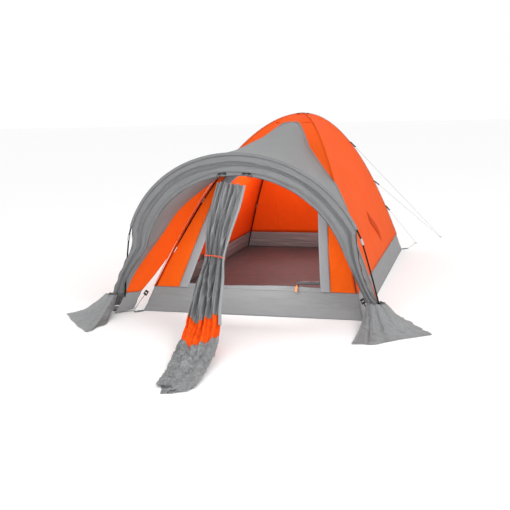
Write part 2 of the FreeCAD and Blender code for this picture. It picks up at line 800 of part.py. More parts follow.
def rod(label, radius, height, place, direction):
    """Round bar from a place along a direction; its sizes are expressions."""
    bar = doc.addObject("Part::Cylinder", label)
    bind(bar, Radius=radius, Height=height)
    bar.Placement = along_axis(place, direction)
    return bar


def hollow_rod(label, radius, bore, height, place, direction):
    """Round sleeve from a place along a direction."""
    sleeve = doc.addObject("Part::Cut", label)
    sleeve.Base = rod(label + "_outside", radius, height, place, direction)
    sleeve.Tool = rod(label + "_bore", bore, height + " * 3", place - direction * 4, direction)
    return sleeve


def build_vestibule_zips():
    """The two sliders of the gathered door's zips, each with an arm and a ring pull on its pin."""
    for side, word in ((-1, "left"), (1, "right")):
        place, normal, angle = vestibule_slider_place(side)
        lean = FreeCAD.Rotation(Vec(0, 0, 1), normal)
        across = lean.inverted().multVec(Vec(1, 0, 0))
        level = math.degrees(math.atan2(across.y, across.x))
        roll = level + math.degrees(angle) - 90
        body = plate_body(f"slider_body_{word}", "Sizes.slider_length", "Sizes.slider_width",
                          "Sizes.slider_depth", along_axis(place, normal, roll), 1.2)
        eye = ring_eye(side)
        reach = (eye - place).Length
        arm_place = mix(place, eye, 0.5)
        arm = plate_body(f"slider_arm_{word}", f"{reach + 6:.3f}", "Sizes.slider_width * 0.6",
                         "Sizes.pin_radius * 1.5", along_axis(arm_place, normal, level))
        pin = rod(f"slider_pin_{word}", "Sizes.pin_radius", "Sizes.slider_depth", eye, normal)
        head_place = eye + normal * (size("slider_depth") - size("pin_radius") / 2)
        head = rod(f"slider_head_{word}", "Sizes.pin_radius * 2", "Sizes.pin_radius", head_place, normal)
        fused(f"vestibule_zip_slider_{word}", [body, arm, pin, head])
        lift = size("pin_radius") * 0.75 + gap
        long = size("slider_depth") - size("pin_radius") / 2 - gap - lift
        sleeve = hollow_rod(f"ring_eye_{word}", "Sizes.pin_radius * 2", "Sizes.pin_radius + Sizes.pin_gap",
                            f"{long:.3f}", eye + normal * lift, normal)
        drop = size("ring_radius") + size("ring_wire") + size("pin_radius") + size("pin_gap") + 0.2
        down = (hoop_plane(0, -1) - hoop_plane(0, 0)).normalize()
        hoop = ring(f"ring_wire_{word}", eye + normal * (lift + long / 2) + down * drop, normal)
        fused(f"ring_pull_{word}", [sleeve, hoop])


def ring_eye(side):
    """Hinge point of a ring pull, level with its slider and further out."""
    place, normal, angle = vestibule_slider_place(side)
    return place + Vec(side * size("ring_arm"), 0, 0)


def door_pull_eye():
    """Middle of the hinge pin of the threshold slider's pull."""
    place, normal, down = door_slider_place()
    return place + normal * (size("slider_depth") / 2 + size("pin_radius") * 2 + gap)


def build_door_zip():
    """Threshold zip slider with a pin between two lugs, and its cloth pull."""
    place, normal, down = door_slider_place()
    eye = door_pull_eye()
    right = Vec(1, 0, 0)
    lug_gap = size("slider_width") * 0.8
    body = plate_body("door_slider_body", "Sizes.slider_length", "Sizes.slider_width", "Sizes.slider_depth",
                      along_axis(place, normal), 1.2)
    lug_long = (eye - place).Length
    parts = [body]
    for side, word in ((-1, "left"), (1, "right")):
        lug_place = mix(place, eye, 0.5) + normal * (size("pin_radius") / 2) + right * (side * lug_gap / 2)
        parts.append(plate_body(f"door_slider_lug_{word}", "Sizes.pin_radius", "Sizes.pin_radius * 3",
                                f"{lug_long + size('pin_radius') * 3:.3f}", along_axis(lug_place, normal)))
    pin_start = eye - right * (lug_gap / 2)
    parts.append(rod("door_slider_pin", "Sizes.pin_radius", f"{lug_gap:.3f}", pin_start, right))
    fused("door_zip_slider", parts)
    hub = lug_gap - size("pin_radius") - 2 * gap
    sleeve = hollow_rod("door_pull_sleeve", "Sizes.pin_radius * 2 - 0.2", "Sizes.pin_radius + Sizes.pin_gap",
                        f"{hub:.3f}", eye - right * (hub / 2), right)
    clear = size("pin_radius") * 2 + 1.6
    neck_place = eye + down * (clear / 2 + size("pin_radius") / 2 + 1)
    neck = plate_body("door_pull_neck", f"{hub:.3f}", f"{clear - size('pin_radius') + 1:.3f}",
                      "Sizes.pull_depth * 0.6", along_axis(neck_place, normal))
    tag_place = eye + down * (clear + size("pull_length") / 2)
    tag = plate_body("door_pull_tag", "Sizes.pull_width", "Sizes.pull_length", "Sizes.pull_depth",
                     along_axis(tag_place, normal), 1.0)
    fused("door_zip_pull", [sleeve, neck, tag])


def door_slider_place():
    """Centre of the threshold slider, the wall's outward normal and the way down the wall."""
    height = tub + size("door_sill")
    step = 10
    down = Vec(0, front_wall_y(height - step) - front_wall_y(height), -step).normalize()
    normal = Vec(0, down.z, -down.y)
    ahead = thickness + 3 * gap + size("slider_depth") / 2
    return Vec(size("door_slider_place"), front_wall_y(height), height) + normal * ahead, normal, down


def build_toggle(place, along):
    """Cord lock on the tie loop, with its spring button."""
    start = place + Vec(-size("toggle_radius") - gap, 0, 0) - along * (size("toggle_length") / 2)
    barrel = doc.addObject("Part::Cylinder", "toggle_barrel")
    bind(barrel, Radius="Sizes.toggle_radius", Height="Sizes.toggle_length")
    bore = doc.addObject("Part::Cylinder", "toggle_bore")
    bind(bore, Radius="Sizes.button_radius + 0.4", Height="Sizes.button_travel * 3")
    barrel.Placement = along_axis(start + along * size("toggle_length"), along * -1)
    bore.Placement = along_axis(start + along * (size("button_travel") * 3), along * -1)
    cut = doc.addObject("Part::Cut", "tie_toggle")
    cut.Base = barrel
    cut.Tool = bore
    keep(cut, "tie_toggle")
    button = doc.addObject("Part::Cylinder", "toggle_button")
    bind(button, Radius="Sizes.button_radius", Height="Sizes.button_travel * 2.5")
    button.Placement = along_axis(start + along * (size("button_travel") * 1.5), along * -1)
    keep(button, "toggle_button")


def peg_loop(name, start, direction):
    """Flat webbing loop on the ground with an eyelet for a peg; returns both."""
    turn = math.degrees(math.atan2(direction.y, direction.x))
    webbing = doc.addObject("Part::Box", name + "_webbing")
    bind(webbing, Length="Sizes.loop_length", Width="Sizes.webbing_width", Height="Sizes.webbing_thickness")
    side = Vec(-direction.y, direction.x, 0)
    webbing.Placement = FreeCAD.Placement(start - side * (size("webbing_width") / 2) + Vec(0, 0, 0.4),
                                          FreeCAD.Rotation(Vec(0, 0, 1), turn))
    centre = eyelet_centre(start, direction)
    hole = doc.addObject("Part::Cylinder", name + "_hole")
    bind(hole, Radius="Sizes.eyelet_bore / 2 + Sizes.eyelet_rim + 0.2", Height="Sizes.webbing_thickness * 4")
    hole.Placement.Base = centre - Vec(0, 0, 2)
    loop = doc.addObject("Part::Cut", name + "_loop")
    loop.Base = webbing
    loop.Tool = hole
    rim = doc.addObject("Part::Cylinder", name + "_rim")
    bind(rim, Radius="Sizes.eyelet_bore / 2 + Sizes.eyelet_rim", Height="Sizes.eyelet_height")
    bore = doc.addObject("Part::Cylinder", name + "_bore")
    bind(bore, Radius="Sizes.eyelet_bore / 2", Height="Sizes.eyelet_height * 3")
    rim.Placement.Base = centre
    bore.Placement.Base = centre - Vec(0, 0, size("eyelet_height"))
    eyelet = doc.addObject("Part::Cut", name + "_eyelet")
    eyelet.Base = rim
    eyelet.Tool = bore
    return loop, eyelet


def eyelet_centre(start, direction):
    """Bottom centre of the eyelet in a peg loop."""
    reach = size("loop_length") - size("eyelet_bore") / 2 - size("eyelet_rim") - 3
    return start + direction * reach + Vec(0, 0, 0.2)


def peg_points():
    """Name, start and direction of every peg loop."""
    points = []
    for side, word in ((-1, "left"), (1, "right")):
        for end, other in ((-1, "front"), (1, "rear")):
            direction = Vec(side, end, 0).normalize()
            corner = Vec(side * half_width, end * half_length, 0)
            points.append((f"{other}_{word}", corner + direction * gap, direction))
        foot = hoop_path(1)
        points.append((f"hoop_{word}", Vec(side * (foot.x + pole_radius + 8), foot.y, 0), Vec(side, 0, 0)))
    last = flap_route()[-1][0]
    points.append(("door_hem", Vec(last.x, last.y - 3, 0), Vec(0, -1, 0)))
    return points


def build_peg_loops():
    """Webbing loops and metal eyelets at the corners, the hoop's feet and the door's hem."""
    loops = []
    eyelets = []
    for name, start, direction in peg_points():
        loop, eyelet = peg_loop(name, start, direction)
        loops.append(loop)
        eyelets.append(eyelet)
    group("peg_loops", loops)
    group("peg_eyelets", eyelets)


def guy_points(side):
    """Tab start on the rear ridge and ground anchor of each guyline on one side."""
    far = Vec(side * size("anchor_far_side"), half_length + size("anchor_far_back"), size("ring_wire"))
    near = Vec(side * size("anchor_near_side"), half_length + size("anchor_near_back"), size("ring_wire"))
    points = []
    for word, anchor, shift in (("upper", far, 5), ("middle", far, -5), ("lower", near, 0)):
        height = size(f"guy_{word}_height")
        tab = leg(side, 1, fraction(height))
        outwards = Vec(side, 1, 0).normalize()
        aim = anchor + Vec(side * shift, -shift, 0)
        points.append((word, tab + outwards * 8, aim))
    return points, far, near


def build_guys(side):
    """Guy tabs, locks and taut guylines of one side."""
    word_side = "right" if side > 0 else "left"
    tabs = []
    locks = []
    points, far, near = guy_points(side)
    for word, start, anchor in points:
        direction = (anchor - start).normalize()
        tab = doc.addObject("Part::Box", f"tab_{word}_{word_side}")
        bind(tab, Length="Sizes.tab_length", Width="Sizes.webbing_width * 0.6",
             Height="Sizes.webbing_thickness")
        turn = FreeCAD.Rotation(Vec(1, 0, 0), direction)
        half_wide = size("webbing_width") * 0.3
        half_thick = size("webbing_thickness") / 2
        tab.Placement = FreeCAD.Placement(start - turn.multVec(Vec(0, half_wide, half_thick)), turn)
        tabs.append(tab)
        lock_start = start + direction * (size("tab_length") + gap)
        lock = doc.addObject("Part::Box", f"lock_{word}_{word_side}")
        bind(lock, Length="Sizes.lock_length", Width="Sizes.webbing_width * 0.6",
             Height="Sizes.webbing_thickness * 3")
        lock.Placement = FreeCAD.Placement(lock_start - turn.multVec(Vec(0, half_wide, half_thick * 3)), turn)
        locks.append(lock)
        line_start = lock_start + direction * (size("lock_length") + gap)
        reach = (anchor - line_start).Length - size("ring_radius") - size("ring_wire") - gap
        straight_cord(f"guyline_{word}_{word_side}", line_start, direction, reach)
    rear = Vec(side, 1, 0).normalize()
    loop_end = rear * (gap + size("loop_length") + 1.5)
    corner = Vec(side * half_width, half_length, size("ring_wire")) + loop_end
    direction = (near - corner).normalize()
    reach = (near - corner).Length - size("ring_radius") - size("ring_wire") - gap
    straight_cord(f"corner_line_{word_side}", corner, direction, reach)
    up = Vec(0, 0, 1)
    rings = [ring(f"anchor_far_{word_side}", far, up), ring(f"anchor_near_{word_side}", near, up)]
    return tabs, locks, rings


def straight_cord(name, start, direction, reach):
    """Taut cord from a point, one straight run."""
    cord = doc.addObject("Part::Cylinder", name)
    bind(cord, Radius="Sizes.cord_diameter / 2")
    cord.Height = reach
    cord.Placement = along_axis(start, direction)
    keep(cord, name)
    print(f"{name}: {reach:.0f} mm")


def buckle_place(side):
    """Middle of a corner buckle and the way its strap runs down."""
    corner = leg(side, -1, fraction(tub * 0.8))
    return corner + Vec(side * 26, -34, -4), Vec(side * 0.50, -0.30, -0.81).normalize()


def build_corner_strap(side):
    """Buckle and webbing strap that tie the vestibule wall's foot to the front corner."""
    word = "right" if side > 0 else "left"
    place, direction = buckle_place(side)
    flat = Vec(side * 0.3, -1, 0.2)
    normal = (flat - direction * flat.dot(direction)).normalize()
    turn = FreeCAD.Rotation(direction.cross(normal), direction, normal, "ZXY")
    window = ("Sizes.buckle_width - 8", "Sizes.buckle_length / 4")
    keep(plate_body(f"corner_buckle_{word}", "Sizes.buckle_width", "Sizes.buckle_length",
                    "Sizes.buckle_depth", FreeCAD.Placement(place, turn), 1.6, window),
         f"corner_buckle_{word}")
    strap_radius = 1.5
    start = place + direction * (size("buckle_length") / 2 + gap + 0.5)
    ground = Vec(side * 708, -half_length - 22, strap_radius + 0.1)
    foot = hoop_path(1)
    end = Vec(side * (foot.x + 1), foot.y + 17, strap_radius + 0.1)
    last = mix(ground, end, 0.30)
    sag = mix(mix(start, ground, 0.5), mix(ground, last, 0.5), 0.5) + Vec(0, 0, 1)
    middle = mix(mix(start, last, 0.5), sag, 0.65)
    path = Part.Wire([Part.Arc(start, middle, last).toShape()])
    tangent = path.Edges[0].tangentAt(path.Edges[0].FirstParameter)
    profile = Part.Face(Part.Wire(Part.Circle(start, tangent, strap_radius).toShape()))
    feature(f"corner_strap_{word}", path.makePipe(profile))


def build_side_vent(side):
    """Fabric hood of the tunnel vent low on the side wall."""
    long_half = size("vent_length") / 2
    wide_half = size("vent_width") / 2
    def face(depth):
        def point(u, v):
            a = (2 * u - 1) * wide_half
            b = (2 * v - 1) * long_half
            height = 320 + a * 0.8 - b * 0.62
            share = fraction(height)
            y = 205 + a * 0.35 + b * 0.78
            normal = Vec(side * 2 * ridge * share, 0, half_width).normalize()
            swell = max(0.0, 1 - (2 * u - 1) ** 2) * max(0.0, 1 - (2 * v - 1) ** 2)
            at = Vec(side * half_width * share, y, height)
            return at + normal * (gap + depth * (1.5 + 12 * swell))
        return point
    name = "side_vent_right" if side > 0 else "side_vent_left"
    feature(name, skin_shape(face(1), face(0), 8, 8))


def build_rear_hood():
    """Vent hood high on the rear wall."""
    def face(depth):
        def point(u, v):
            share = 0.16 + 0.26 * u
            across = (2 * v - 1) * size("hood_width") / 2 * (0.45 + 0.55 * u)
            normal = Vec(0, 2 * ridge * share, rear_reach).normalize()
            at = Vec(across, cross_y + rear_reach * share, ridge * (1 - share ** 2))
            swell = u * (1 - (2 * v - 1) ** 2)
            return at + normal * (gap + depth * (2 + 34 * swell))
        return point
    feature("rear_vent_hood", skin_shape(face(1), face(0), 8, 10))


def build_apex_patch():
    """Grey reinforcement over the pole crossing."""
    def face(lift):
        def point(u, v):
            x = (2 * u - 1) * 46
            y = (2 * v - 1) * 70
            share = math.hypot(abs(x) / half_width, abs(y) / (front_reach if y < 0 else rear_reach))
            return Vec(x, cross_y + y, ridge * (1 - share ** 2) + lift)
        return point
    feature("apex_patch", skin_shape(face(thickness + 6), face(6), 6, 6))


def build_door_bundle():
    """Inner door panel, unzipped and gathered behind the threshold."""
    height = tub + size("door_sill") + 16
    front = front_wall_y(height) + 34
    spots = [(0.60, 12, 8), (0.73, 17, 11), (0.87, 15, 10), (1.00, 18, 12), (1.11, 12, 9)]
    wires = []
    for across, half_deep, half_high in spots:
        centre = Vec(size("door_base_half") * across, front + 4, height - 14 + half_high)
        major = Vec(0, half_deep, 0)
        wires.append(Part.Wire(Part.Ellipse(centre + major, centre + Vec(0, 0, half_high), centre).toShape()))
    feature("door_bundle", Part.makeLoft(wires, True, False))


# ---------------------------------------------------------------- the whole tent
def build_all():
    """Build every sub-part."""
    build_tub()
    for side in (-1, 1):
        side_wall(side)
        build_shoulder(side)
        build_vestibule_wall(side)
        build_porch_foot(side)
        build_snow_skirt(side)
    build_rear_wall()
    build_front_wall()
    build_crown()
    build_roof_panel()
    build_hoop_sleeve()
    build_valance()
    build_flap()
    build_toggle(*build_tie())
    build_poles()
    build_vestibule_zips()
    build_door_zip()
    build_door_bundle()
    build_peg_loops()
    tabs, locks, rings = [], [], []
    for side in (-1, 1):
        more = build_guys(side)
        tabs += more[0]
        locks += more[1]
        rings += more[2]
        build_corner_strap(side)
        build_side_vent(side)
    group("guy_tabs", tabs)
    group("guy_locks", locks)
    group("anchor_rings", rings)
    build_rear_hood()
    build_apex_patch()


def check_and_export():
    """Stop on any failed object or bad shape, then write one STEP file for each sub-part."""
    doc.recompute()
    for obj in doc.Objects:
        if "Invalid" in obj.State or "Error" in obj.State:
            raise RuntimeError(f"{obj.Label} failed: {obj.State}")
    for obj in NODES:
        shape = obj.Shape
        if shape.isNull() or not shape.isValid() or shape.Volume <= 0:
            raise RuntimeError(f"{obj.Label} has a bad shape: {shape.ShapeType} {shape.Volume}")
    os.makedirs("parts", exist_ok=True)
    for obj in NODES:
        obj.Shape.exportStep(f"parts/{obj.Label}.step")
        print(f"{obj.Label}: {len(obj.Shape.Solids)} solids, {obj.Shape.Volume / 1000:.2f} cm3")
    print(len(NODES), "nodes")


build_all()
check_and_export()
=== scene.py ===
# %% [markdown]
# # A dome tent with a hooped porch
# Two bent poles cross over a groundsheet and hold up a coated nylon skin. A third pole, the hoop, holds
# up the porch in front of the door. This lesson keeps the frame, the buckles and the sliders as they
# come from the CAD model and makes every piece of cloth, webbing and cord in Blender, in metres, in the
# same places. Each cell makes one thing and prints what it made.
# %% Load the frame
import math
import bmesh
import bpy
import numpy as np
from mathutils import Matrix, Vector, noise


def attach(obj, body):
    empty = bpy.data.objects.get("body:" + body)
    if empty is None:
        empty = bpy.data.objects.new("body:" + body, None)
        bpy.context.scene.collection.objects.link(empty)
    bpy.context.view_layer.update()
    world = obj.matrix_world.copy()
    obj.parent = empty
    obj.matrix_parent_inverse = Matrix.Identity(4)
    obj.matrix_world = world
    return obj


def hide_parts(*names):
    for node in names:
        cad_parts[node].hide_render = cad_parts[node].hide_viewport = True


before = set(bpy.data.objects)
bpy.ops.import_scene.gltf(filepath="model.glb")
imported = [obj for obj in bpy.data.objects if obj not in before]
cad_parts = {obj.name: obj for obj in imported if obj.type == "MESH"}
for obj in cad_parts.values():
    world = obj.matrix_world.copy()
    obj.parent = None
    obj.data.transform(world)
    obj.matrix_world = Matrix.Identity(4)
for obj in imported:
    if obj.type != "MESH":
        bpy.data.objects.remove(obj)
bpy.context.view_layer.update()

# %% [markdown]
# ## Camera
# The viewer stands about 5.5 m away, a little to the right of the door, at chest height, and tilts the
# camera down. A 57 mm lens keeps the sides of the tent from spreading. The three angles are turned into
# the camera's own axes, because a slight roll is easier to give as a turn about the viewing line.
# %% Camera
CAMERA_PLACE = Vector((1.26199, -5.37414, 1.18791))
PITCH_DOWN = 0.18586264
YAW_LEFT = 0.27745326
ROLL = 0.02750567
LENS_MM = 56.916


def camera_axes():
    """Right, up and back of the camera in the frame."""
    forward = Vector((-math.sin(YAW_LEFT) * math.cos(PITCH_DOWN),
                      math.cos(YAW_LEFT) * math.cos(PITCH_DOWN), -math.sin(PITCH_DOWN)))
    level = Vector((math.cos(YAW_LEFT), math.sin(YAW_LEFT), 0))
    down = forward.cross(level)
    right = level * math.cos(ROLL) + down * math.sin(ROLL)
    up = level * math.sin(ROLL) - down * math.cos(ROLL)
    return right, up, -forward


camera_data = bpy.data.cameras.new("camera")
camera_data.lens = LENS_MM
camera_data.sensor_width = 36
camera = bpy.data.objects.new("camera", camera_data)
bpy.context.scene.collection.objects.link(camera)
turn = Matrix(camera_axes()).transposed().to_4x4()
camera.matrix_world = Matrix.Translation(CAMERA_PLACE) @ turn
bpy.context.scene.camera = camera
print("camera height", round(CAMERA_PLACE.z, 2), "m")

# %% [markdown]
# ## Sizes and the lines that everything follows
# A dome ridge runs from a floor corner to the crossing of the poles as a parabola, and the hoop is an
# arc with two straight legs, leaning towards the door. Nearly every seam is read off these lines, so
# they come first, as small functions of a share from 0 to 1.
# %% Ridge and hoop lines
HALF_WIDTH = 0.65
HALF_LENGTH = 1.10
RIDGE = 1.11
CROSS_Y = 0.40
FRONT_REACH = 1.50
REAR_REACH = 0.70
TUB = 0.13
HOOP_HEIGHT = 0.931
HOOP_RADIUS = 0.698
HOOP_HALF = 0.765
HOOP_FOOT_AHEAD = 0.020
HOOP_TOP_AHEAD = 0.220
SLEEVE_RADIUS = 0.009
SKIRT_TOP = 0.115
LEAN = (HOOP_TOP_AHEAD - HOOP_FOOT_AHEAD) / HOOP_HEIGHT
STRETCH = math.hypot(1, LEAN)
HOOP_CENTRE = HOOP_HEIGHT * STRETCH - HOOP_RADIUS


def mix(first, second, share):
    """The value a share of the way between two."""
    return first * (1 - share) + second * share


def share_at(height):
    """How far down a ridge this height is: 0 at the crossing, 1 at the floor."""
    return math.sqrt(max(0.0, 1 - height / RIDGE))


def ridge_point(side, end, share):
    """Point of a dome ridge. Side is -1 left, 1 right; end is -1 front, 1 rear."""
    reach = FRONT_REACH if end < 0 else REAR_REACH
    return Vector((side * HALF_WIDTH * share, CROSS_Y + end * reach * share, RIDGE * (1 - share ** 2)))


def hoop_plane(across, along, ahead=0.0):
    """Point of the leaning plane that the hoop stands in."""
    height = (along - ahead * LEAN) / STRETCH
    forward = (LEAN * along + ahead) / STRETCH
    return Vector((across, -HALF_LENGTH - HOOP_FOOT_AHEAD - forward, height))


def hoop_path(share, side=1, inwards=0.0, foot_inwards=None, ahead=0.0):
    """Point of a line that follows the hoop inside it: share 0 at its top, 1 at its foot."""
    radius = HOOP_RADIUS - inwards
    foot = HOOP_HALF - (inwards if foot_inwards is None else foot_inwards)
    start = math.atan2(-HOOP_CENTRE, foot) + math.acos(radius / math.hypot(foot, HOOP_CENTRE))
    arc = (math.pi / 2 - start) * radius
    leave = (radius * math.cos(start), HOOP_CENTRE + radius * math.sin(start))
    leg = math.hypot(foot - leave[0], leave[1])
    distance = share * (arc + leg)
    if distance <= arc:
        angle = math.pi / 2 - distance / radius
        return hoop_plane(side * radius * math.cos(angle), HOOP_CENTRE + radius * math.sin(angle), ahead)
    rest = (distance - arc) / leg
    return hoop_plane(side * mix(leave[0], foot, rest), leave[1] * (1 - rest), ahead)


def share_where(path, height):
    """The share at which a falling path comes down to a height."""
    low, high = 0.4, 1.0
    for _ in range(30):
        middle = (low + high) / 2
        low, high = (middle, high) if path(middle).z > height else (low, middle)
    return low


HOOP_END = share_where(hoop_path, SKIRT_TOP)
print("hoop top", tuple(round(x, 3) for x in hoop_path(0)), "ridge top", RIDGE)

# %% [markdown]
# ## Guylines
# Eight thin polyester cords hold the back of the tent. They are pulled tight, so each is one straight
# run from its lock to the ring on the ground, and a spline with a round bevel is all it takes.
# %% Guylines
CORD_THICK = 0.0025
RING_RADIUS = 0.010
RING_WIRE = 0.0016
SEAM_GAP = 0.0006
TAB_LENGTH = 0.042
LOCK_LENGTH = 0.020
LOOP_LENGTH = 0.058
GUY_HEIGHTS = {"upper": 0.880, "middle": 0.570, "lower": 0.365}
FAR_ANCHOR = Vector((0.923, HALF_LENGTH + 0.630, RING_WIRE))
NEAR_ANCHOR = Vector((0.739, HALF_LENGTH + 0.303, RING_WIRE))


def to_side(point, side):
    """The same place on the right (1) or left (-1) of the tent."""
    return Vector((point[0] * side, point[1], point[2]))


def guy_run(side, word):
    """Start of the tab, direction of pull and start of the cord of one guyline."""
    anchor = to_side(NEAR_ANCHOR if word == "lower" else FAR_ANCHOR, side)
    shift = {"upper": 0.005, "middle": -0.005, "lower": 0.0}[word]
    start = ridge_point(side, 1, share_at(GUY_HEIGHTS[word])) + Vector((side, 1, 0)).normalized() * 0.008
    aim = anchor + Vector((side * shift, -shift, 0))
    direction = (aim - start).normalized()
    return start, direction, start + direction * (TAB_LENGTH + LOCK_LENGTH + 2 * SEAM_GAP), aim


def cord_curve(name, points):
    """Round cord through given points."""
    data = bpy.data.curves.new(name, "CURVE")
    data.dimensions = "3D"
    data.bevel_depth = 1.0
    data.bevel_resolution = 3
    data.use_fill_caps = True
    spline = data.splines.new("NURBS")
    spline.points.add(len(points) - 1)
    for spot, point in zip(spline.points, points):
        spot.co = (*point, 1)
        spot.radius = CORD_THICK / 2
    spline.order_u = min(3, len(points))
    spline.use_endpoint_u = True
    obj = bpy.data.objects.new(name, data)
    bpy.context.scene.collection.objects.link(obj)
    return obj


CORDS = {}
for side, side_word in ((-1, "left"), (1, "right")):
    for word in GUY_HEIGHTS:
        start, direction, first, aim = guy_run(side, word)
        last = aim - direction * (RING_RADIUS + RING_WIRE + SEAM_GAP)
        CORDS[f"guyline_{word}_{side_word}"] = (first, last)
    rear = Vector((side, 1, 0)).normalized()
    corner = Vector((side * HALF_WIDTH, HALF_LENGTH, 0))
    first = corner + rear * (SEAM_GAP + LOOP_LENGTH + 0.0015) + Vector((0, 0, 0.0016))
    near = to_side(NEAR_ANCHOR, side)
    last = near - (near - first).normalized() * (RING_RADIUS + RING_WIRE + SEAM_GAP)
    CORDS[f"corner_line_{side_word}"] = (first, last)
cord_pieces = {}
for name, (first, last) in CORDS.items():
    piece = cord_curve(name + "_cord", [first, last])
    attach(piece, "tent")
    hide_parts(name)
    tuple(first)
    cord_pieces[name] = piece
    print(name, round((last - first).length, 3), "m")

# %% [markdown]
# ## Finishes
# Every finish is a small tree of nodes. Colours are written as they look on a screen and turned to
# linear light by one function. One helper adds a node with its settings and its links.
# %% Colour and node helpers
def linear(hex_colour):
    """Screen colour #rrggbb as linear light."""
    parts = [int(hex_colour[i:i + 2], 16) / 255 for i in (1, 3, 5)]
    return tuple(p / 12.92 if p <= 0.04045 else ((p + 0.055) / 1.055) ** 2.4 for p in parts) + (1.0,)


def add(tree, kind, settings=None, inputs=None):
    """Add a node. Inputs are values or sockets to link, by the input's name or number."""
    node = tree.nodes.new(kind)
    for key, value in (settings or {}).items():
        setattr(node, key, value)
    for key, value in (inputs or {}).items():
        if isinstance(value, bpy.types.NodeSocket):
            tree.links.new(value, node.inputs[key])
        else:
            node.inputs[key].default_value = value
    return node


def new_material(name):
    """Empty material with a Principled shader wired to its output."""
    material = bpy.data.materials.new(name)
    material.use_nodes = True
    tree = material.node_tree
    tree.nodes.clear()
    shader = add(tree, "ShaderNodeBsdfPrincipled")
    add(tree, "ShaderNodeOutputMaterial", {}, {"Surface": shader.outputs[0]})
    return material, tree, shader


# %% [markdown]
# ## Coated nylon
# Tent cloth is ripstop nylon: a fine plain weave with a thicker thread every 5 mm or so, coated with
# silicone or polyurethane. The coating gives a soft satin gloss, the thick threads a faint grid, and
# handling leaves long shallow creases. The pattern follows the cloth through its UV map, which is laid
# out in metres. The weave itself is about 0.3 mm and can't show, so the grid stands for it.
# %% Nylon
RIPSTOP_MM = 5.0


def nylon(name, colour, shade, roughness, crease_mm=60.0, crease_depth=0.0012, crumple=0.0, coat=0.05,
          through=0.2, run=(1.0, 0.28), shine=1.42):
    """Coated ripstop cloth; shade is its darker colour, partly painted shade, mixed in at random in soft clouds and
    along the ripstop threads, not in the creases; through is the light that it lets past.
    """
    material, tree, shader = new_material(name)
    place = add(tree, "ShaderNodeUVMap", {"uv_map": "cloth"})
    grid = add(tree, "ShaderNodeVectorMath", {"operation": "SCALE"},
               {0: place.outputs[0], "Scale": 1000 / RIPSTOP_MM})
    cell = add(tree, "ShaderNodeVectorMath", {"operation": "FRACTION"}, {0: grid.outputs[0]})
    parts = add(tree, "ShaderNodeSeparateXYZ", {}, {0: cell.outputs[0]})
    lines = [add(tree, "ShaderNodeMath", {"operation": "LESS_THAN"}, {0: parts.outputs[i], 1: 0.14})
             for i in (0, 1)]
    thread = add(tree, "ShaderNodeMath", {"operation": "MAXIMUM"},
                 {0: lines[0].outputs[0], 1: lines[1].outputs[0]})
    along = add(tree, "ShaderNodeMapping", {}, {"Vector": place.outputs[0], "Scale": (*run, 1.0)})
    crease = add(tree, "ShaderNodeTexNoise", {"normalize": True},
                 {"Vector": along.outputs[0], "Scale": 1000 / crease_mm, "Detail": 3.0,
                  "Roughness": 0.55, "Distortion": 0.6})
    cloud = add(tree, "ShaderNodeTexNoise", {}, {"Vector": place.outputs[0], "Scale": 3.5, "Detail": 2.0})
    tone = add(tree, "ShaderNodeMath", {"operation": "MULTIPLY_ADD"},
               {0: cloud.outputs[0], 1: 0.45, 2: -0.08})
    weave = add(tree, "ShaderNodeMath", {"operation": "MULTIPLY_ADD"},
                {0: thread.outputs[0], 1: 0.16, 2: tone.outputs[0]})
    blend = add(tree, "ShaderNodeMix", {"data_type": "RGBA"},
                {0: weave.outputs[0], 6: linear(colour), 7: linear(shade)})
    height = add(tree, "ShaderNodeMath", {"operation": "MULTIPLY_ADD"},
                 {0: thread.outputs[0], 1: 0.05, 2: crease.outputs[0]})
    bump = add(tree, "ShaderNodeBump", {}, {"Strength": 0.6, "Distance": crease_depth * 8,
                                            "Height": height.outputs[0]})
    if crumple:
        facets = add(tree, "ShaderNodeTexVoronoi", {"feature": "F1"},
                     {"Vector": along.outputs[0], "Scale": 34.0, "Detail": 1.5})
        bump = add(tree, "ShaderNodeBump", {}, {"Strength": crumple, "Distance": 0.012,
                                                "Height": facets.outputs["Distance"],
                                                "Normal": bump.outputs[0]})
    glow = add(tree, "ShaderNodeBsdfTranslucent", {}, {"Color": blend.outputs[2], "Normal": bump.outputs[0]})
    cloth = add(tree, "ShaderNodeMixShader", {}, {0: through, 1: shader.outputs[0], 2: glow.outputs[0]})
    surface = next(node for node in tree.nodes if node.type == "OUTPUT_MATERIAL").inputs["Surface"]
    tree.links.new(cloth.outputs[0], surface)
    tree.links.new(blend.outputs[2], shader.inputs["Base Color"])
    tree.links.new(bump.outputs[0], shader.inputs["Normal"])
    shader.inputs["Roughness"].default_value = roughness
    shader.inputs["IOR"].default_value = shine
    shader.inputs["Specular IOR Level"].default_value = 0.5 if coat else 0.25
    shader.inputs["Coat Weight"].default_value = coat
    shader.inputs["Coat Roughness"].default_value = 0.35
    return material


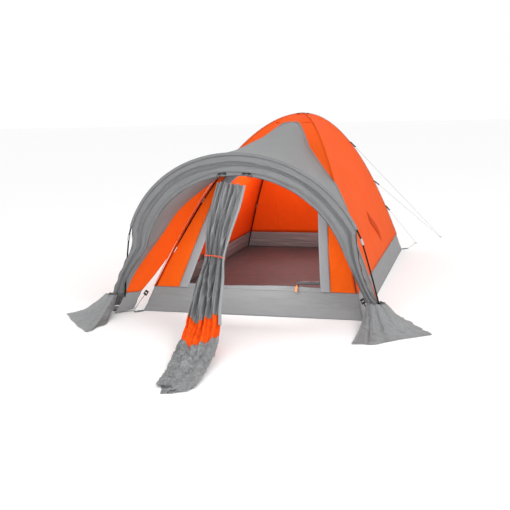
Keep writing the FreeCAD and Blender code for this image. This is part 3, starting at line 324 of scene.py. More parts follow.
ORANGE = nylon("silicone-coated ripstop nylon, orange", "#f96418", "#ec5006", 0.66, coat=0.0, shine=1.33)
# The inner wall's taffeta is a little rougher than the fly, which is its own, and its orange a little brighter, which
# is painted light standing for the light that shines through the thin cloth.
ORANGE_INNER_BRIGHTENED = nylon("breathable nylon taffeta, orange", "#fa6a18", "#ee5808", 0.78, coat=0.0, shine=1.3)
ORANGE_DEEP = nylon("silicone-coated ripstop nylon, deep orange", "#e24d0c", "#c23c04", 0.6, crease_mm=18,
                    crease_depth=0.0025, coat=0.0, shine=1.33)
GREY = nylon("silicone-coated ripstop nylon, grey", "#959697", "#7d7e80", 0.50)
GREY_BAND = nylon("ripstop nylon facing, grey", "#8f9092", "#67686b", 0.42, crease_mm=26, crease_depth=0.0024,
                  coat=0.12, run=(0.16, 1.0))
GREY_TUB = nylon("polyurethane-coated nylon taffeta, grey", "#9c9d9e", "#78797b", 0.44, crease_mm=22,
                 crease_depth=0.0020, coat=0.1, run=(0.12, 1.0))
GREY_FLOOR = nylon("polyurethane-coated floor taffeta, grey", "#646568", "#525357", 0.5, crease_mm=90,
                   crease_depth=0.0016, coat=0.08)
# The bunched door's two greys stand far apart: its light grey is lifted towards a painted highlight and its dark grey
# is painted fold shade, both mixed in as random clouds.
GREY_GLOSSY_PAINTED_FOLDS = nylon("calendered nylon, grey, painted fold highlight and shade", "#a3a4a6", "#606265", 0.30, crease_mm=16,
                    crease_depth=0.0026, coat=0.35, through=0.25, run=(1.0, 0.12))
GREY_CRUMPLED = nylon("calendered snow-skirt nylon, grey", "#adaeaf", "#77797b", 0.30, crease_mm=14,
                      crease_depth=0.0028, crumple=0.6, coat=0.35, through=0.25, run=(1.0, 0.45))
ZIP_TAPE = nylon("woven polyester zip tape, grey", "#a6a8ab", "#8d9093", 0.7, crease_mm=8,
                 crease_depth=0.0005, coat=0.0)
print("cloth finishes:", len([m for m in bpy.data.materials if "nylon" in m.name or "taffeta" in m.name]))

# %% [markdown]
# ## Hard parts, webbing and cord
# Pole tubes are black anodised aluminium, the joint sleeves, eyelets and rings are bare aluminium, and
# buckles, sliders and locks are moulded nylon. These read Object coordinates, in metres. Webbing and
# cord are coarse weaves, drawn as bands across their width.
# %% Hard finishes
def hard(name, colour, roughness, metallic=0.0, grain_mm=1.0, depth=0.0001, stretch=(1, 1, 1)):
    """Moulded or metal finish with a fine grain and slight wear in its gloss."""
    material, tree, shader = new_material(name)
    place = add(tree, "ShaderNodeTexCoord")
    scaled = add(tree, "ShaderNodeMapping", {}, {"Vector": place.outputs["Object"], "Scale": stretch})
    grain = add(tree, "ShaderNodeTexNoise", {}, {"Vector": scaled.outputs[0], "Scale": 1000 / grain_mm,
                                                 "Detail": 2.0})
    worn = add(tree, "ShaderNodeTexNoise", {}, {"Vector": place.outputs["Object"], "Scale": 30.0})
    gloss = add(tree, "ShaderNodeMapRange", {}, {"Value": worn.outputs[0], "To Min": roughness * 0.8,
                                                 "To Max": min(1.0, roughness * 1.25)})
    bump = add(tree, "ShaderNodeBump", {}, {"Strength": 0.3, "Distance": depth, "Height": grain.outputs[0]})
    dark = tuple(c * 0.8 for c in linear(colour)[:3]) + (1.0,)
    tone = add(tree, "ShaderNodeMix", {"data_type": "RGBA"},
               {0: worn.outputs[0], 6: linear(colour), 7: dark})
    tree.links.new(tone.outputs[2], shader.inputs["Base Color"])
    tree.links.new(gloss.outputs[0], shader.inputs["Roughness"])
    tree.links.new(bump.outputs[0], shader.inputs["Normal"])
    shader.inputs["Metallic"].default_value = metallic
    return material


POLE_BLACK = hard("anodised 7001 aluminium tube, black", "#26262a", 0.34, 1.0, 0.6, 0.00005)
ALUMINIUM = hard("tumbled aluminium", "#c3c4c6", 0.36, 1.0, 0.8, 0.00008)
NYLON_BLACK = hard("moulded nylon, black", "#141416", 0.5, 0.0, 0.9, 0.00012)
RING_RED = hard("moulded ring, dark red", "#5e1a0c", 0.45, 0.0, 0.9, 0.0001)


def woven(name, colour, shade, rib_mm, axis="cloth"):
    """Webbing, elastic or cord: ribs across its run."""
    material, tree, shader = new_material(name)
    if axis == "cloth":
        place = add(tree, "ShaderNodeUVMap", {"uv_map": "cloth"}).outputs[0]
    else:
        place = add(tree, "ShaderNodeTexCoord").outputs["Object"]
    ribs = add(tree, "ShaderNodeTexWave", {"wave_type": "BANDS", "bands_direction": "DIAGONAL"},
               {"Vector": place, "Scale": 1000 / rib_mm / 20, "Distortion": 1.5, "Detail": 1.0})
    tone = add(tree, "ShaderNodeMix", {"data_type": "RGBA"},
               {0: ribs.outputs[0], 6: linear(colour), 7: linear(shade)})
    bump = add(tree, "ShaderNodeBump", {}, {"Strength": 0.5, "Distance": 0.0004, "Height": ribs.outputs[0]})
    tree.links.new(tone.outputs[2], shader.inputs["Base Color"])
    tree.links.new(bump.outputs[0], shader.inputs["Normal"])
    shader.inputs["Roughness"].default_value = 0.8
    shader.inputs["Sheen Weight"].default_value = 0.2
    return material


WEBBING = woven("woven polyester webbing, black", "#1c1c1f", "#0e0e10", 1.6)
ELASTIC = woven("knitted elastic, orange", "#ef5a1c", "#c23f0c", 1.5)
CORD = woven("braided polyester cord, pale grey", "#b9bbbe", "#94969a", 1.5, "object")
THREAD = woven("polyester sewing thread, grey", "#6d6f73", "#55575b", 0.8, "object")
COIL = hard("nylon zip coil, dark grey", "#3b3c40", 0.42, 0.0, 0.5, 0.00005)

CAD_FINISH = {
    "dome_pole_left": POLE_BLACK, "dome_pole_right": POLE_BLACK, "hoop_pole": POLE_BLACK,
    "pole_ferrules": ALUMINIUM, "pole_tips": NYLON_BLACK, "peg_eyelets": ALUMINIUM,
    "anchor_rings": ALUMINIUM, "tie_toggle": NYLON_BLACK, "toggle_button": NYLON_BLACK,
    "corner_buckle_left": NYLON_BLACK, "corner_buckle_right": NYLON_BLACK,
    "vestibule_zip_slider_left": NYLON_BLACK, "vestibule_zip_slider_right": NYLON_BLACK,
    "door_zip_slider": NYLON_BLACK, "ring_pull_left": RING_RED, "ring_pull_right": RING_RED}
for name, finish in CAD_FINISH.items():
    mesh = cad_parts[name].data
    mesh.materials.clear()
    mesh.materials.append(finish)
for piece in cord_pieces.values():
    piece.data.materials.append(CORD)
print("CAD pieces refinished:", len(CAD_FINISH))

# %% [markdown]
# ## Cutting a panel of cloth
# A tent panel is flat cloth bent over a line or stretched between two. Each one is made as a grid whose
# points come from a function of two shares, down and across. The grid gets a UV map in metres, so that
# the weave keeps its size, then a thin Solidify, because cloth with no thickness shows no hem.
# %% Cloth helper
CLOTH_THICK = 0.0010
HEART = Vector((0, 0, 0.25))


def grid_mesh(name, rows_of_points):
    """Mesh of a grid of points, with a UV map in metres laid out from its middle."""
    rows, columns = len(rows_of_points), len(rows_of_points[0])
    points = np.array([[tuple(p) for p in row] for row in rows_of_points])
    across = np.linalg.norm(np.diff(points, axis=1), axis=2)
    across = np.concatenate([np.zeros((rows, 1)), np.cumsum(across, axis=1)], axis=1)
    across -= across[:, [columns // 2]]
    down = np.linalg.norm(np.diff(points, axis=0), axis=2).mean(axis=1)
    down = np.concatenate([[0], np.cumsum(down)])
    faces = [(i * columns + j, i * columns + j + 1, (i + 1) * columns + j + 1, (i + 1) * columns + j)
             for i in range(rows - 1) for j in range(columns - 1)]
    mesh = bpy.data.meshes.new(name)
    mesh.from_pydata(points.reshape(-1, 3).tolist(), [], faces)
    layer = mesh.uv_layers.new(name="cloth")
    for loop in mesh.loops:
        i, j = divmod(loop.vertex_index, columns)
        layer.data[loop.index].uv = (across[i, j], down[i])
    return mesh


def add_object(name, mesh, material):
    """Object at the origin that shows a mesh."""
    mesh.materials.append(material)
    mesh.polygons.foreach_set("use_smooth", [True] * len(mesh.polygons))
    obj = bpy.data.objects.new(name, mesh)
    bpy.context.scene.collection.objects.link(obj)
    return obj


def face_outwards(mesh, heart):
    """Turn the cloth's face away from a point inside the tent."""
    total = sum((p.center - heart).dot(p.normal) * p.area for p in mesh.polygons)
    if total < 0:
        mesh.flip_normals()


def thicken(obj, thick):
    """Give a sheet its thickness, inwards from its face."""
    solid = obj.modifiers.new("thickness", "SOLIDIFY")
    solid.thickness = thick
    solid.offset = -1.0
    solid.use_even_offset = False


def panel(name, point, down, across, material, node, heart=HEART, thick=CLOTH_THICK,
          held="stretched", body="tent", cut=None, cut_area=None):
    """One piece of cloth; point(u, v) gives its places, u down and v across."""
    rows = [[point(i / down, j / across) for j in range(across + 1)] for i in range(down + 1)]
    mesh = grid_mesh(name, rows)
    face_outwards(mesh, heart)
    obj = add_object(name, mesh, material)
    area = sum(p.area for p in mesh.polygons)
    thicken(obj, thick)
    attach(obj, body)
    if node:
        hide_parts(*([node] if isinstance(node, str) else node))
    if held is None:
        print(f"{name}: strip, {len(mesh.polygons)} faces")
        return obj
    if cut is None:
        # A taut panel is cut to the form it is stretched over, so its cut is read from its own shape.
        spans = [sum((a - b).length for a, b in zip(row, row[1:])) for row in rows]
        length = sum((a[across // 2] - b[across // 2]).length for a, b in zip(rows, rows[1:]))
        cut = (max(spans), max(length, area / max(spans)))
    print(f"{name}: cut {cut[0]:.2f} x {cut[1]:.2f} m, {area:.2f} m2, {len(mesh.polygons)} faces")
    return obj


def wrinkle(point, size, depth, seed=0.0):
    """Smooth random push of a point, for slack and handling creases."""
    return noise.noise(Vector(point) / size + Vector((seed, seed * 1.7, seed * 0.3))) * depth

# %% [markdown]
# ## Groundsheet
# The groundsheet is one tub: a flat floor whose edges turn up 13 cm and are sewn at the corners, so that
# water on the ground stays out. A floor grid and one grid round the edge share their border, and both
# get shallow creases, pushed up only, because the ground is hard.
# %% Groundsheet and its raised edge
def tub_corner(index, height):
    """Corner of the tub at a height, counted from the front left, anticlockwise from above."""
    side, end = ((-1, -1), (1, -1), (1, 1), (-1, 1))[index % 4]
    return ridge_point(side, end, share_at(height))


def tub_wall(u, v):
    """Outer face of the raised edge: u up, v round the tub."""
    height = 0.001 + (TUB - 0.001) * u
    place = v * 4
    index = min(int(place), 3)
    along = place - index
    at = mix(tub_corner(index, height), tub_corner(index + 1, height), along)
    inward = -Vector((at.x, at.y - CROSS_Y * 0.3, 0)).normalized()
    taut = (4 * along * (1 - along)) ** 0.5
    soft = math.sin(math.pi * u)
    ripple = wrinkle((at.x * 0.35, at.y * 0.35, at.z * 2.2), 0.055, 0.006, 3.0) + 0.004 * taut
    pucker = 0.004 * math.sin((u * 26 + along * 9) * 1.3) * math.exp(-min(along, 1 - along) * 14)
    return at + inward * (soft * (abs(ripple) + abs(pucker)) + 0.0004)


def floor_point(u, v):
    """Upper face of the floor."""
    x = mix(-HALF_WIDTH, HALF_WIDTH, v)
    y = mix(-HALF_LENGTH, HALF_LENGTH, u)
    edge = min(v, 1 - v, u, 1 - u)
    lift = abs(wrinkle((x, y * 0.25, 0), 0.09, 0.007, 8.0)) + abs(wrinkle((x * 0.3, y, 0), 0.12, 0.005, 2.0))
    return Vector((x, y, 0.0014 + lift * min(1.0, edge * 12)))


def grid(point, down, across):
    """Rows of points of a surface."""
    return [[point(i / down, j / across) for j in range(across + 1)] for i in range(down + 1)]


def join_meshes(name, meshes, merge=0.0):
    """One mesh made of several, with close points merged."""
    whole = bmesh.new()
    for mesh in meshes:
        whole.from_mesh(mesh)
        bpy.data.meshes.remove(mesh)
    if merge:
        bmesh.ops.remove_doubles(whole, verts=whole.verts, dist=merge)
    joined = bpy.data.meshes.new(name)
    whole.to_mesh(joined)
    whole.free()
    return joined


def sheet_object(name, mesh, material, node, cut, thick=CLOTH_THICK):
    """Finish a sheet of cloth that was put together by hand."""
    obj = add_object(name, mesh, material)
    thicken(obj, thick)
    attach(obj, "tent")
    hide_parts(*([node] if isinstance(node, str) else node))
    real = sum(p.area for p in mesh.polygons)
    print(f"{name}: cut {cut[0]:.2f} x {cut[1]:.2f} m, {real:.2f} m2, {len(mesh.polygons)} faces")
    return obj


wall_mesh = grid_mesh("tub_wall", grid(tub_wall, 20, 560))
face_outwards(wall_mesh, HEART)
floor_mesh = grid_mesh("floor", grid(floor_point, 150, 90))
face_outwards(floor_mesh, Vector((0, 0, 5)))
floor_mesh.flip_normals()
tub_wall_piece = sheet_object("tub_wall", wall_mesh, GREY_TUB, "floor_tub", (6.9, 0.14))
floor_piece = sheet_object("floor_sheet", floor_mesh, GREY_FLOOR, "floor_tub", (1.31, 2.21))

# %% [markdown]
# ## Dome walls
# Side and rear walls are the plain part of a dome: cloth pulled between two bent poles. They sag a
# little between the poles and crease towards the corners, where the pull is strongest.
# %% Side and rear walls
WALL_TOP = 0.030
WALL_BASE = share_at(TUB)


def slack(u, v, at, depth=0.010):
    """How far a wall hangs in between its ridges, with its creases."""
    bow = 4 * v * (1 - v)
    pull = math.exp(-((1 - u) ** 2) * 10) * (math.exp(-v * 7) + math.exp(-(1 - v) * 7))
    crease = math.sin((v * 3 + u) * 22) * 0.0025 * pull
    return depth * bow * math.sin(math.pi * min(1, u * 1.1)) ** 0.7 + crease + wrinkle(at, 0.16, 0.005, 1.0) * bow


def side_wall(side):
    """Point function of a side wall."""
    def point(u, v):
        share = mix(WALL_TOP, WALL_BASE, u)
        front, rear = ridge_point(side, -1, share), ridge_point(side, 1, share)
        at = mix(front, rear, v)
        normal = Vector((side * 2 * RIDGE * share, 0, HALF_WIDTH)).normalized()
        return at - normal * max(0.0, slack(u, v, at))
    return point


def rear_wall(u, v):
    """Point of the rear wall."""
    share = mix(WALL_TOP, WALL_BASE, u)
    at = mix(ridge_point(-1, 1, share), ridge_point(1, 1, share), v)
    normal = Vector((0, 2 * RIDGE * share, REAR_REACH)).normalized()
    return at - normal * max(0.0, slack(u, v, at))


for side, side_word in ((-1, "left"), (1, "right")):
    panel(f"side_panel_{side_word}", side_wall(side), 70, 110, ORANGE,
          f"side_wall_{side_word}")
panel("rear_panel", rear_wall, 60, 70, ORANGE, "rear_wall")

# %% [markdown]
# ## Inner front wall and its doorway
# The inner wall closes the dome behind the porch. It is an arch of orange taffeta round a D-shaped
# doorway, with a grey zip tape along the opening and a low grey sill. Making the arch as a strip that
# runs from the opening out to the ridges keeps the doorway's edge smooth.
# %% Inner front wall, sill and zip tape
DOOR_BASE = 0.410
DOOR_TOP = 0.300
DOOR_SPRING = 0.690
DOOR_CROWN = 0.830
DOOR_SILL = 0.152
WALL_RECESS = 0.060
WALL_HEAD = 0.930


def front_wall_y(height):
    """How far forward the inner wall stands at a height."""
    return CROSS_Y - FRONT_REACH * share_at(height) + WALL_RECESS * (height - TUB) / (RIDGE - TUB)


def door_outline(t, grow=0.0):
    """Across and height on the doorway's edge: t from -1 at the left foot over the crown to 1."""
    side, way = (1 if t > 0 else -1), abs(t)
    rise = DOOR_CROWN - DOOR_SPRING
    radius = (DOOR_TOP ** 2 + rise ** 2) / (2 * rise)
    sweep = math.asin(DOOR_TOP / radius)
    if way < 0.36:
        angle = sweep * way / 0.36
        x, z = radius * math.sin(angle), DOOR_CROWN - radius * (1 - math.cos(angle))
        out = (math.sin(angle), math.cos(angle))
    else:
        rest = (way - 0.36) / 0.64
        x, z = mix(DOOR_TOP, DOOR_BASE, rest), mix(DOOR_SPRING, TUB + 0.001, rest)
        out = (0.98, 0.2 * (1 - rest))
        turn = min(1.0, rest / 0.1)
        out = (mix(math.sin(sweep), out[0], turn), mix(math.cos(sweep), out[1], turn))
    return side * (x + out[0] * grow), z + out[1] * grow


def wall_outline(t):
    """Across and height on the inner wall's outer edge."""
    side, way = (1 if t > 0 else -1), abs(t)
    if way < 0.30:
        return side * (HALF_WIDTH * share_at(WALL_HEAD) - 0.02) * way / 0.30, WALL_HEAD
    z = mix(WALL_HEAD, TUB + 0.001, (way - 0.30) / 0.70)
    return side * (HALF_WIDTH * share_at(z) - 0.012), z


def front_wall(u, v):
    """Point of the inner wall between the doorway, u 0, and its outer edge, u 1."""
    t = 2 * v - 1
    inner, outer = door_outline(t), wall_outline(t)
    x, z = mix(inner[0], outer[0], u), mix(inner[1], outer[1], u)
    ripple = wrinkle((x * 0.6, 0, z), 0.14, 0.008, 5.0) * math.sin(math.pi * u)
    return Vector((x, front_wall_y(z) + ripple, z))


def door_tape(u, v):
    """Zip tape that lies on the wall along the doorway."""
    x, z = door_outline(2 * v - 1, mix(-0.012, 0.046, u))
    return Vector((x, front_wall_y(z) - 0.003 - 0.002 * math.sin(math.pi * u), z))


def sill(u, v):
    """Low grey strip under the doorway."""
    x, z = mix(-DOOR_BASE, DOOR_BASE, v), mix(TUB - 0.004, DOOR_SILL, u)
    drape = wrinkle((x, 0, z), 0.05, 0.006, 9.0) * u
    return Vector((x, front_wall_y(max(z, TUB)) - 0.001 + drape, z + 0.004 * math.sin(x * 9) * u))


DOOR_FRONT = Vector((0, 3, 0.4))
panel("inner_front_wall", front_wall, 16, 220, ORANGE_INNER_BRIGHTENED, "front_wall", DOOR_FRONT)
panel("doorway_tape", door_tape, 6, 260, ZIP_TAPE, "doorway_zip_tape", DOOR_FRONT)
panel("door_sill", sill, 6, 160, GREY_TUB, None, DOOR_FRONT)

# %% [markdown]
# ## Roof panel over the porch
# The grey roof runs from the hoop back to the dome in one piece and comes down both sides to the ground.
# It is stretched between the hoop and a curved seam, so it dips in between. Where the pole leaves its
# sleeve the cloth cuts straight down and leaves a narrow gap beside the bare pole.
# %% Seam, roof panel and orange borders
SEAM_CROSS = 0.700
SEAM_TOP = 1.058
SHOULDER = 0.100
ROOF_SAG = 0.035
SLEEVE_END = math.radians(24)


def seam_point(height, side):
    """Seam between the grey roof and the orange panels."""
    base = ridge_point(1, -1, share_at(height))
    rise = height - SEAM_CROSS
    if rise >= 0:
        return to_side(base - Vector((SHOULDER * min(1.0, rise / 0.2) ** 0.8, 0, 0)), side)
    ahead = 0.160 * math.sin(math.pi / 2 * min(1.0, -rise / 0.2)) - 0.008 * max(0.0, -rise - 0.2) / 0.2
    point = base + Vector((0.42 * ahead, -0.92 * ahead, 0))
    low = max(0.0, -rise - 0.2) / (SEAM_CROSS - 0.2 - SKIRT_TOP)
    foot = hoop_path(HOOP_END) + Vector((-0.004, 0.016, 0))
    return to_side(mix(point, Vector((foot.x, foot.y, height)), low ** 2), side)


def roof_edge(share, side):
    """Rear edge of the roof: share 0 on the centre line, 1 at its lowest point."""
    drop = math.cos(math.pi / 2 * share)
    height = SKIRT_TOP + (SEAM_TOP - SKIRT_TOP) * max(0.0, drop) ** 1.2
    point = seam_point(height, side)
    return Vector((point.x * min(1.0, share / 0.08), point.y, point.z))


def pull_in(share, side):
    """How far the cloth stands inside the bare lower part of the hoop."""
    way = (share * HOOP_END - 0.60) / (HOOP_END - 0.60)
    return (0.044 if side > 0 else 0.026) * math.sin(math.pi * min(1.0, way)) ** 0.5 if way > 0 else 0.0


def flare(at):
    """Low on the left the skirt pulls the cloth out past the pole's foot."""
    low = min(1.0, max(0.0, (0.40 - at.z) / 0.28))
    return at + Vector((-0.078, -0.024, 0)) * math.sin(math.pi / 2 * low) if at.x < 0 else at


def roof_front(share, side):
    """Front edge of the roof, on the hoop's sleeve and then beside the bare pole."""
    return flare(hoop_path(share * HOOP_END, side, pull_in(share, side)) + Vector((0, SLEEVE_RADIUS * 0.7, 0)))


def roof(u, v):
    """Point of the roof: u from the hoop back, v from the left foot over to the right."""
    side, share = (1 if v >= 0.5 else -1), abs(2 * v - 1)
    front, back = roof_front(share, side), roof_edge(share, side)
    at = mix(front, back, u)
    inwards = (Vector((0, at.y, 0.3 * RIDGE * (1 - share))) - at).normalized()
    sag = ROOF_SAG * 4 * u * (1 - u) * (1 - 0.6 * share)
    ripple = wrinkle((at.x, at.y * 0.6, at.z), 0.13, 0.007, 4.0) * min(1.0, 8 * u * (1 - u))
    gather = 0.003 * math.sin(share * 90 + u * 5) * math.exp(-u * 9) * (0.3 + 0.7 * share)
    return at + inwards * (sag + ripple + gather)


def shoulder(side):
    """Orange border between the roof seam and the front ridge."""
    def point(u, v):
        height = mix(SEAM_TOP - 0.004, SEAM_CROSS + 0.002, u)
        ridge = ridge_point(side, -1, share_at(height))
        at = mix(ridge, seam_point(height, side), v)
        return at + Vector((0, 0.5, -0.5)) * (0.004 * math.sin(math.pi * v) + wrinkle(at, 0.1, 0.002, 6.0) * v)
    return point


def crown(u, v):
    """Orange cap of the front face below the crossing."""
    share = mix(WALL_TOP, share_at(SEAM_TOP), u)
    at = ridge_point(1, -1, share)
    bow = 0.006 * (1 - (2 * v - 1) ** 2)
    return Vector((at.x * (2 * v - 1), at.y, at.z - bow))


def porch_wall(side):
    """Orange wall of the porch between the roof seam and the dome, open in a slit at its foot."""
    def point(u, v):
        height = mix(SEAM_CROSS - 0.004, SKIRT_TOP, u)
        body = ridge_point(side, -1, share_at(height))
        seam = seam_point(height, side)
        forward = (seam - body).normalized()
        slit = 0.070 * max(0.0, (0.300 - height) / (0.300 - SKIRT_TOP)) ** 1.1
        at = mix(body + forward * (slit + 0.002), seam + forward * 0.007, v)
        out = Vector((side * 0.9, -0.3, 0.2)).normalized()
        slack = 0.008 * u + wrinkle(at, 0.12, 0.004, 7.0)
        return at - out * (slack * math.sin(math.pi * v) + 0.0012 * v)
    return point


panel("roof_cloth", roof, 40, 260, GREY, "roof_panel", Vector((0, -0.5, 0)))
panel("crown_cloth", crown, 12, 30, ORANGE, "crown_panel")
for side, side_word in ((-1, "left"), (1, "right")):
    panel(f"shoulder_cloth_{side_word}", shoulder(side), 50, 10, ORANGE,
          f"shoulder_{side_word}")
    panel(f"porch_side_{side_word}", porch_wall(side), 60, 20, ORANGE,
          f"vestibule_wall_{side_word}")

# %% [markdown]
# ## Hoop sleeve and valance
# A sleeve of the roof cloth holds the upper part of the hoop. Inside it hangs the valance, a band that
# is folded over the zip, so that rain doesn't reach it. Its folds run right along the hoop, which is why
# a cross-section of folds, carried along the hoop's line, gives the whole band.
# %% Sleeve and valance
VALANCE_WIDE = 0.120
VALANCE_FOOT = 0.045
FOLDS = ((0.00, 0.000), (0.10, 0.006), (0.26, 0.008), (0.38, -0.006), (0.46, -0.010), (0.56, 0.003),
         (0.74, 0.008), (0.86, 0.001), (0.93, 0.005), (1.00, 0.002))


def sleeve(u, v):
    """Point of the sleeve round the hoop: u along it, v round it."""
    angle = math.pi / 2 + (math.pi / 2 - SLEEVE_END) * (1 - 2 * u)
    turn = 2 * math.pi * v
    radius = SLEEVE_RADIUS * (0.97 + 0.03 * math.sin(angle * 160) * math.cos(turn))
    out = HOOP_RADIUS + radius * math.cos(turn)
    return hoop_plane(out * math.cos(angle), HOOP_CENTRE + out * math.sin(angle), radius * math.sin(turn))


def fold_depth(t):
    """How far ahead of the hoop's plane the valance lies at a share of its width."""
    for (before, low), (after, high) in zip(FOLDS, FOLDS[1:]):
        if t <= after:
            way = (t - before) / (after - before)
            return mix(low, high, way * way * (3 - 2 * way))
    return FOLDS[-1][1]


def valance_end(t):
    """Share along the hoop where the valance's line meets the top of the snow skirt."""
    inwards, foot = mix(SLEEVE_RADIUS * 0.6, VALANCE_WIDE, t), mix(SLEEVE_RADIUS * 0.6, VALANCE_FOOT, t)
    return share_where(lambda s: hoop_path(s, 1, inwards, foot), SKIRT_TOP)


VALANCE_ENDS = [valance_end(i / 36) for i in range(37)]


def valance(u, v):
    """Point of the valance: u from the pole inwards, v from the left foot over to the right."""
    side, share = (1 if v >= 0.5 else -1), abs(2 * v - 1)
    low = max(0.0, share - 0.62) / 0.38
    inwards = mix(SLEEVE_RADIUS * 0.6, VALANCE_WIDE, u) + pull_in(share, side) * (1 - u)
    foot = mix(SLEEVE_RADIUS * 0.6, VALANCE_FOOT, u) + pull_in(share, side) * (1 - u)
    spot = Vector((side * share * 5, u * 2.5, side))
    drift = 0.10 * noise.noise(spot)
    wave = 0.0035 * noise.noise(Vector((side * share * 11, u * 9, 3.0)))
    wave += 0.0020 * math.sin(u * 60 + 5 * noise.noise(spot * 1.7)) * (0.4 + low)
    ahead = fold_depth(min(1.0, max(0.0, u + drift * 4 * u * (1 - u)))) * (1 - 0.3 * low) + wave * u
    end = VALANCE_ENDS[round(u * 36)]
    return flare(hoop_path(share * end, side, inwards, foot, ahead))


panel("sleeve_cloth", sleeve, 150, 16, GREY_BAND, "hoop_sleeve", Vector((0, -1.2, 0.2)))
panel("valance_cloth", valance, 36, 320, GREY_BAND, "hoop_valance", DOOR_FRONT)

# %% [markdown]
# ## Snow skirts
# At each foot of the hoop a skirt of thin shiny nylon fans out over the ground, to be weighed down with
# snow. It is gathered at the hoop and free at its hem, so it falls in rays that spread and flatten.
# %% Snow skirts
NECKS = {1: ((-0.088, -0.022), (-0.070, -0.042), (-0.022, -0.050), (0.004, -0.030), (0.008, -0.004),
             (-0.008, 0.018), (-0.040, 0.030)),
         -1: ((0.014, -0.052), (0.020, -0.064), (0.048, -0.074), (0.080, -0.068), (0.090, -0.046),
              (0.054, 0.000), (-0.030, 0.036))}
HEMS = {1: ((-0.104, -0.424), (0.006, -0.416), (0.110, -0.310), (0.268, -0.192), (0.190, -0.060),
            (0.100, 0.100), (0.050, 0.150)),
        -1: ((-0.024, -0.300), (0.004, -0.472), (0.130, -0.350), (0.306, -0.138), (0.225, -0.034),
             (0.134, 0.076), (0.050, 0.138))}


def between(outline, share):
    """Point on an outline of straight runs."""
    place = share * (len(outline) - 1)
    index = min(int(place), len(outline) - 2)
    first, second = Vector(outline[index]), Vector(outline[index + 1])
    return mix(first, second, place - index)


def fan_cut(side):
    """Hem and depth of the flat fan that a skirt is cut from, and its area, from the two outlines."""
    neck, hem = [[Vector(place) for place in outline[side]] for outline in (NECKS, HEMS)]
    round_neck, round_hem = [sum((b - a).length for a, b in zip(line, line[1:])) for line in (neck, hem)]
    reach = sum((b - a).length for a, b in zip(neck, hem)) / len(hem)
    depth = math.hypot(reach, SKIRT_TOP)
    return (round_hem, depth), (round_neck + round_hem) / 2 * depth


def snow_skirt(side):
    """Point function of one snow skirt: u from the neck to the hem, v round it."""
    foot = hoop_path(1)
    def point(u, v):
        flat = mix(between(NECKS[side], v), between(HEMS[side], v), u)
        rays = math.sin(v * 71 + side + 1.5 * math.sin(v * 17)) * 0.55 + math.sin(v * 131 + 2.0) * 0.3
        rays += noise.noise(Vector((v * 14, u * 3, side * 5.0)))
        crumple = noise.noise(Vector((flat.x * 22, flat.y * 22, side * 3.0))) * 0.6
        crumple += (0.5 - abs(noise.noise(Vector((flat.x * 38, flat.y * 38, 1.0))))) * 0.5
        lift = 0.011 * rays * (u + 0.12) ** 0.4 * (1 - u) ** 0.5 + 0.010 * crumple * u * (1 - 0.6 * u)
        height = (SKIRT_TOP - 0.002) * (1 - u) ** 1.7 + 0.0035 * u + lift
        shift = 0.006 * math.sin(v * 55 + u * 4) * u
        return Vector((side * (foot.x + flat.x + shift), foot.y + flat.y + shift * 0.6, max(0.0016, height)))
    return point


def porch_foot(side):
    """Grey band between the porch wall's lower edge and the ground: u down, v forward."""
    body = ridge_point(side, -1, share_at(SKIRT_TOP))
    seam = seam_point(SKIRT_TOP, side)
    start = body + (seam - body).normalized() * 0.072
    foot = hoop_path(1)
    first = Vector((side * (foot.x - 0.051), foot.y + 0.024, 0.008))
    last = Vector((side * (foot.x + (0.022 if side < 0 else -0.023)), foot.y - (0.085 if side < 0 else 0.026), 0.004))
    def point(u, v):
        at = mix(mix(start, seam, v), mix(first, last, v), u)
        out = Vector((side * 0.9, -0.3, 0.2)).normalized()
        return at + out * (wrinkle((at.x * 3, at.y * 3, at.z), 0.05, 0.006, 5.0) * math.sin(math.pi * u))
    return point


for side, side_word in ((-1, "left"), (1, "right")):
    panel(f"porch_foot_cloth_{side_word}", porch_foot(side), 24, 24, GREY_TUB,
          f"porch_foot_{side_word}")
    fan, fan_area = fan_cut(side)
    panel(f"skirt_cloth_{side_word}", snow_skirt(side), 46, 200, GREY_CRUMPLED,
          f"snow_skirt_{side_word}", Vector((side * 0.76, -1.1, -1)), held="gathered",
          cut=fan, cut_area=fan_area)

# %% [markdown]
# ## Gathered porch door
# The porch door is unzipped, bunched together and pegged out in front. Bunched cloth hangs in deep
# pleats that drift as they run down, squeezed where the elastic holds them. The pleats are a wave across
# the bunch; its width and depth follow a few stations from the hoop to the hem. An orange band crosses
# it as a V, so the cloth is cut there into three pieces along V-shaped lines.
# %% Gathered door
FLAP_STATIONS = ((-24, 0.00, 1.000, 79, 13), (-39, 0.060, 0.860, 81, 16), (-59, 0.125, 0.700, 71, 17),
                 (-67, 0.180, 0.525, 53, 18), (-59, 0.300, 0.378, 74, 20), (-52, 0.400, 0.240, 82, 20),
                 (-37, 0.490, 0.142, 90, 18), (-18, 0.630, 0.070, 100, 15), (-1, 0.775, 0.034, 96, 12),
                 (12, 0.900, 0.0165, 92, 9), (18, 1.000, 0.0125, 88, 7))
FLAP_REACH = 1.250 - HOOP_TOP_AHEAD
FLAP_TOP = hoop_plane(0, (HOOP_HEIGHT - VALANCE_WIDE * 1.05 - 0.034) * STRETCH)
TIE_STATION = 3.0


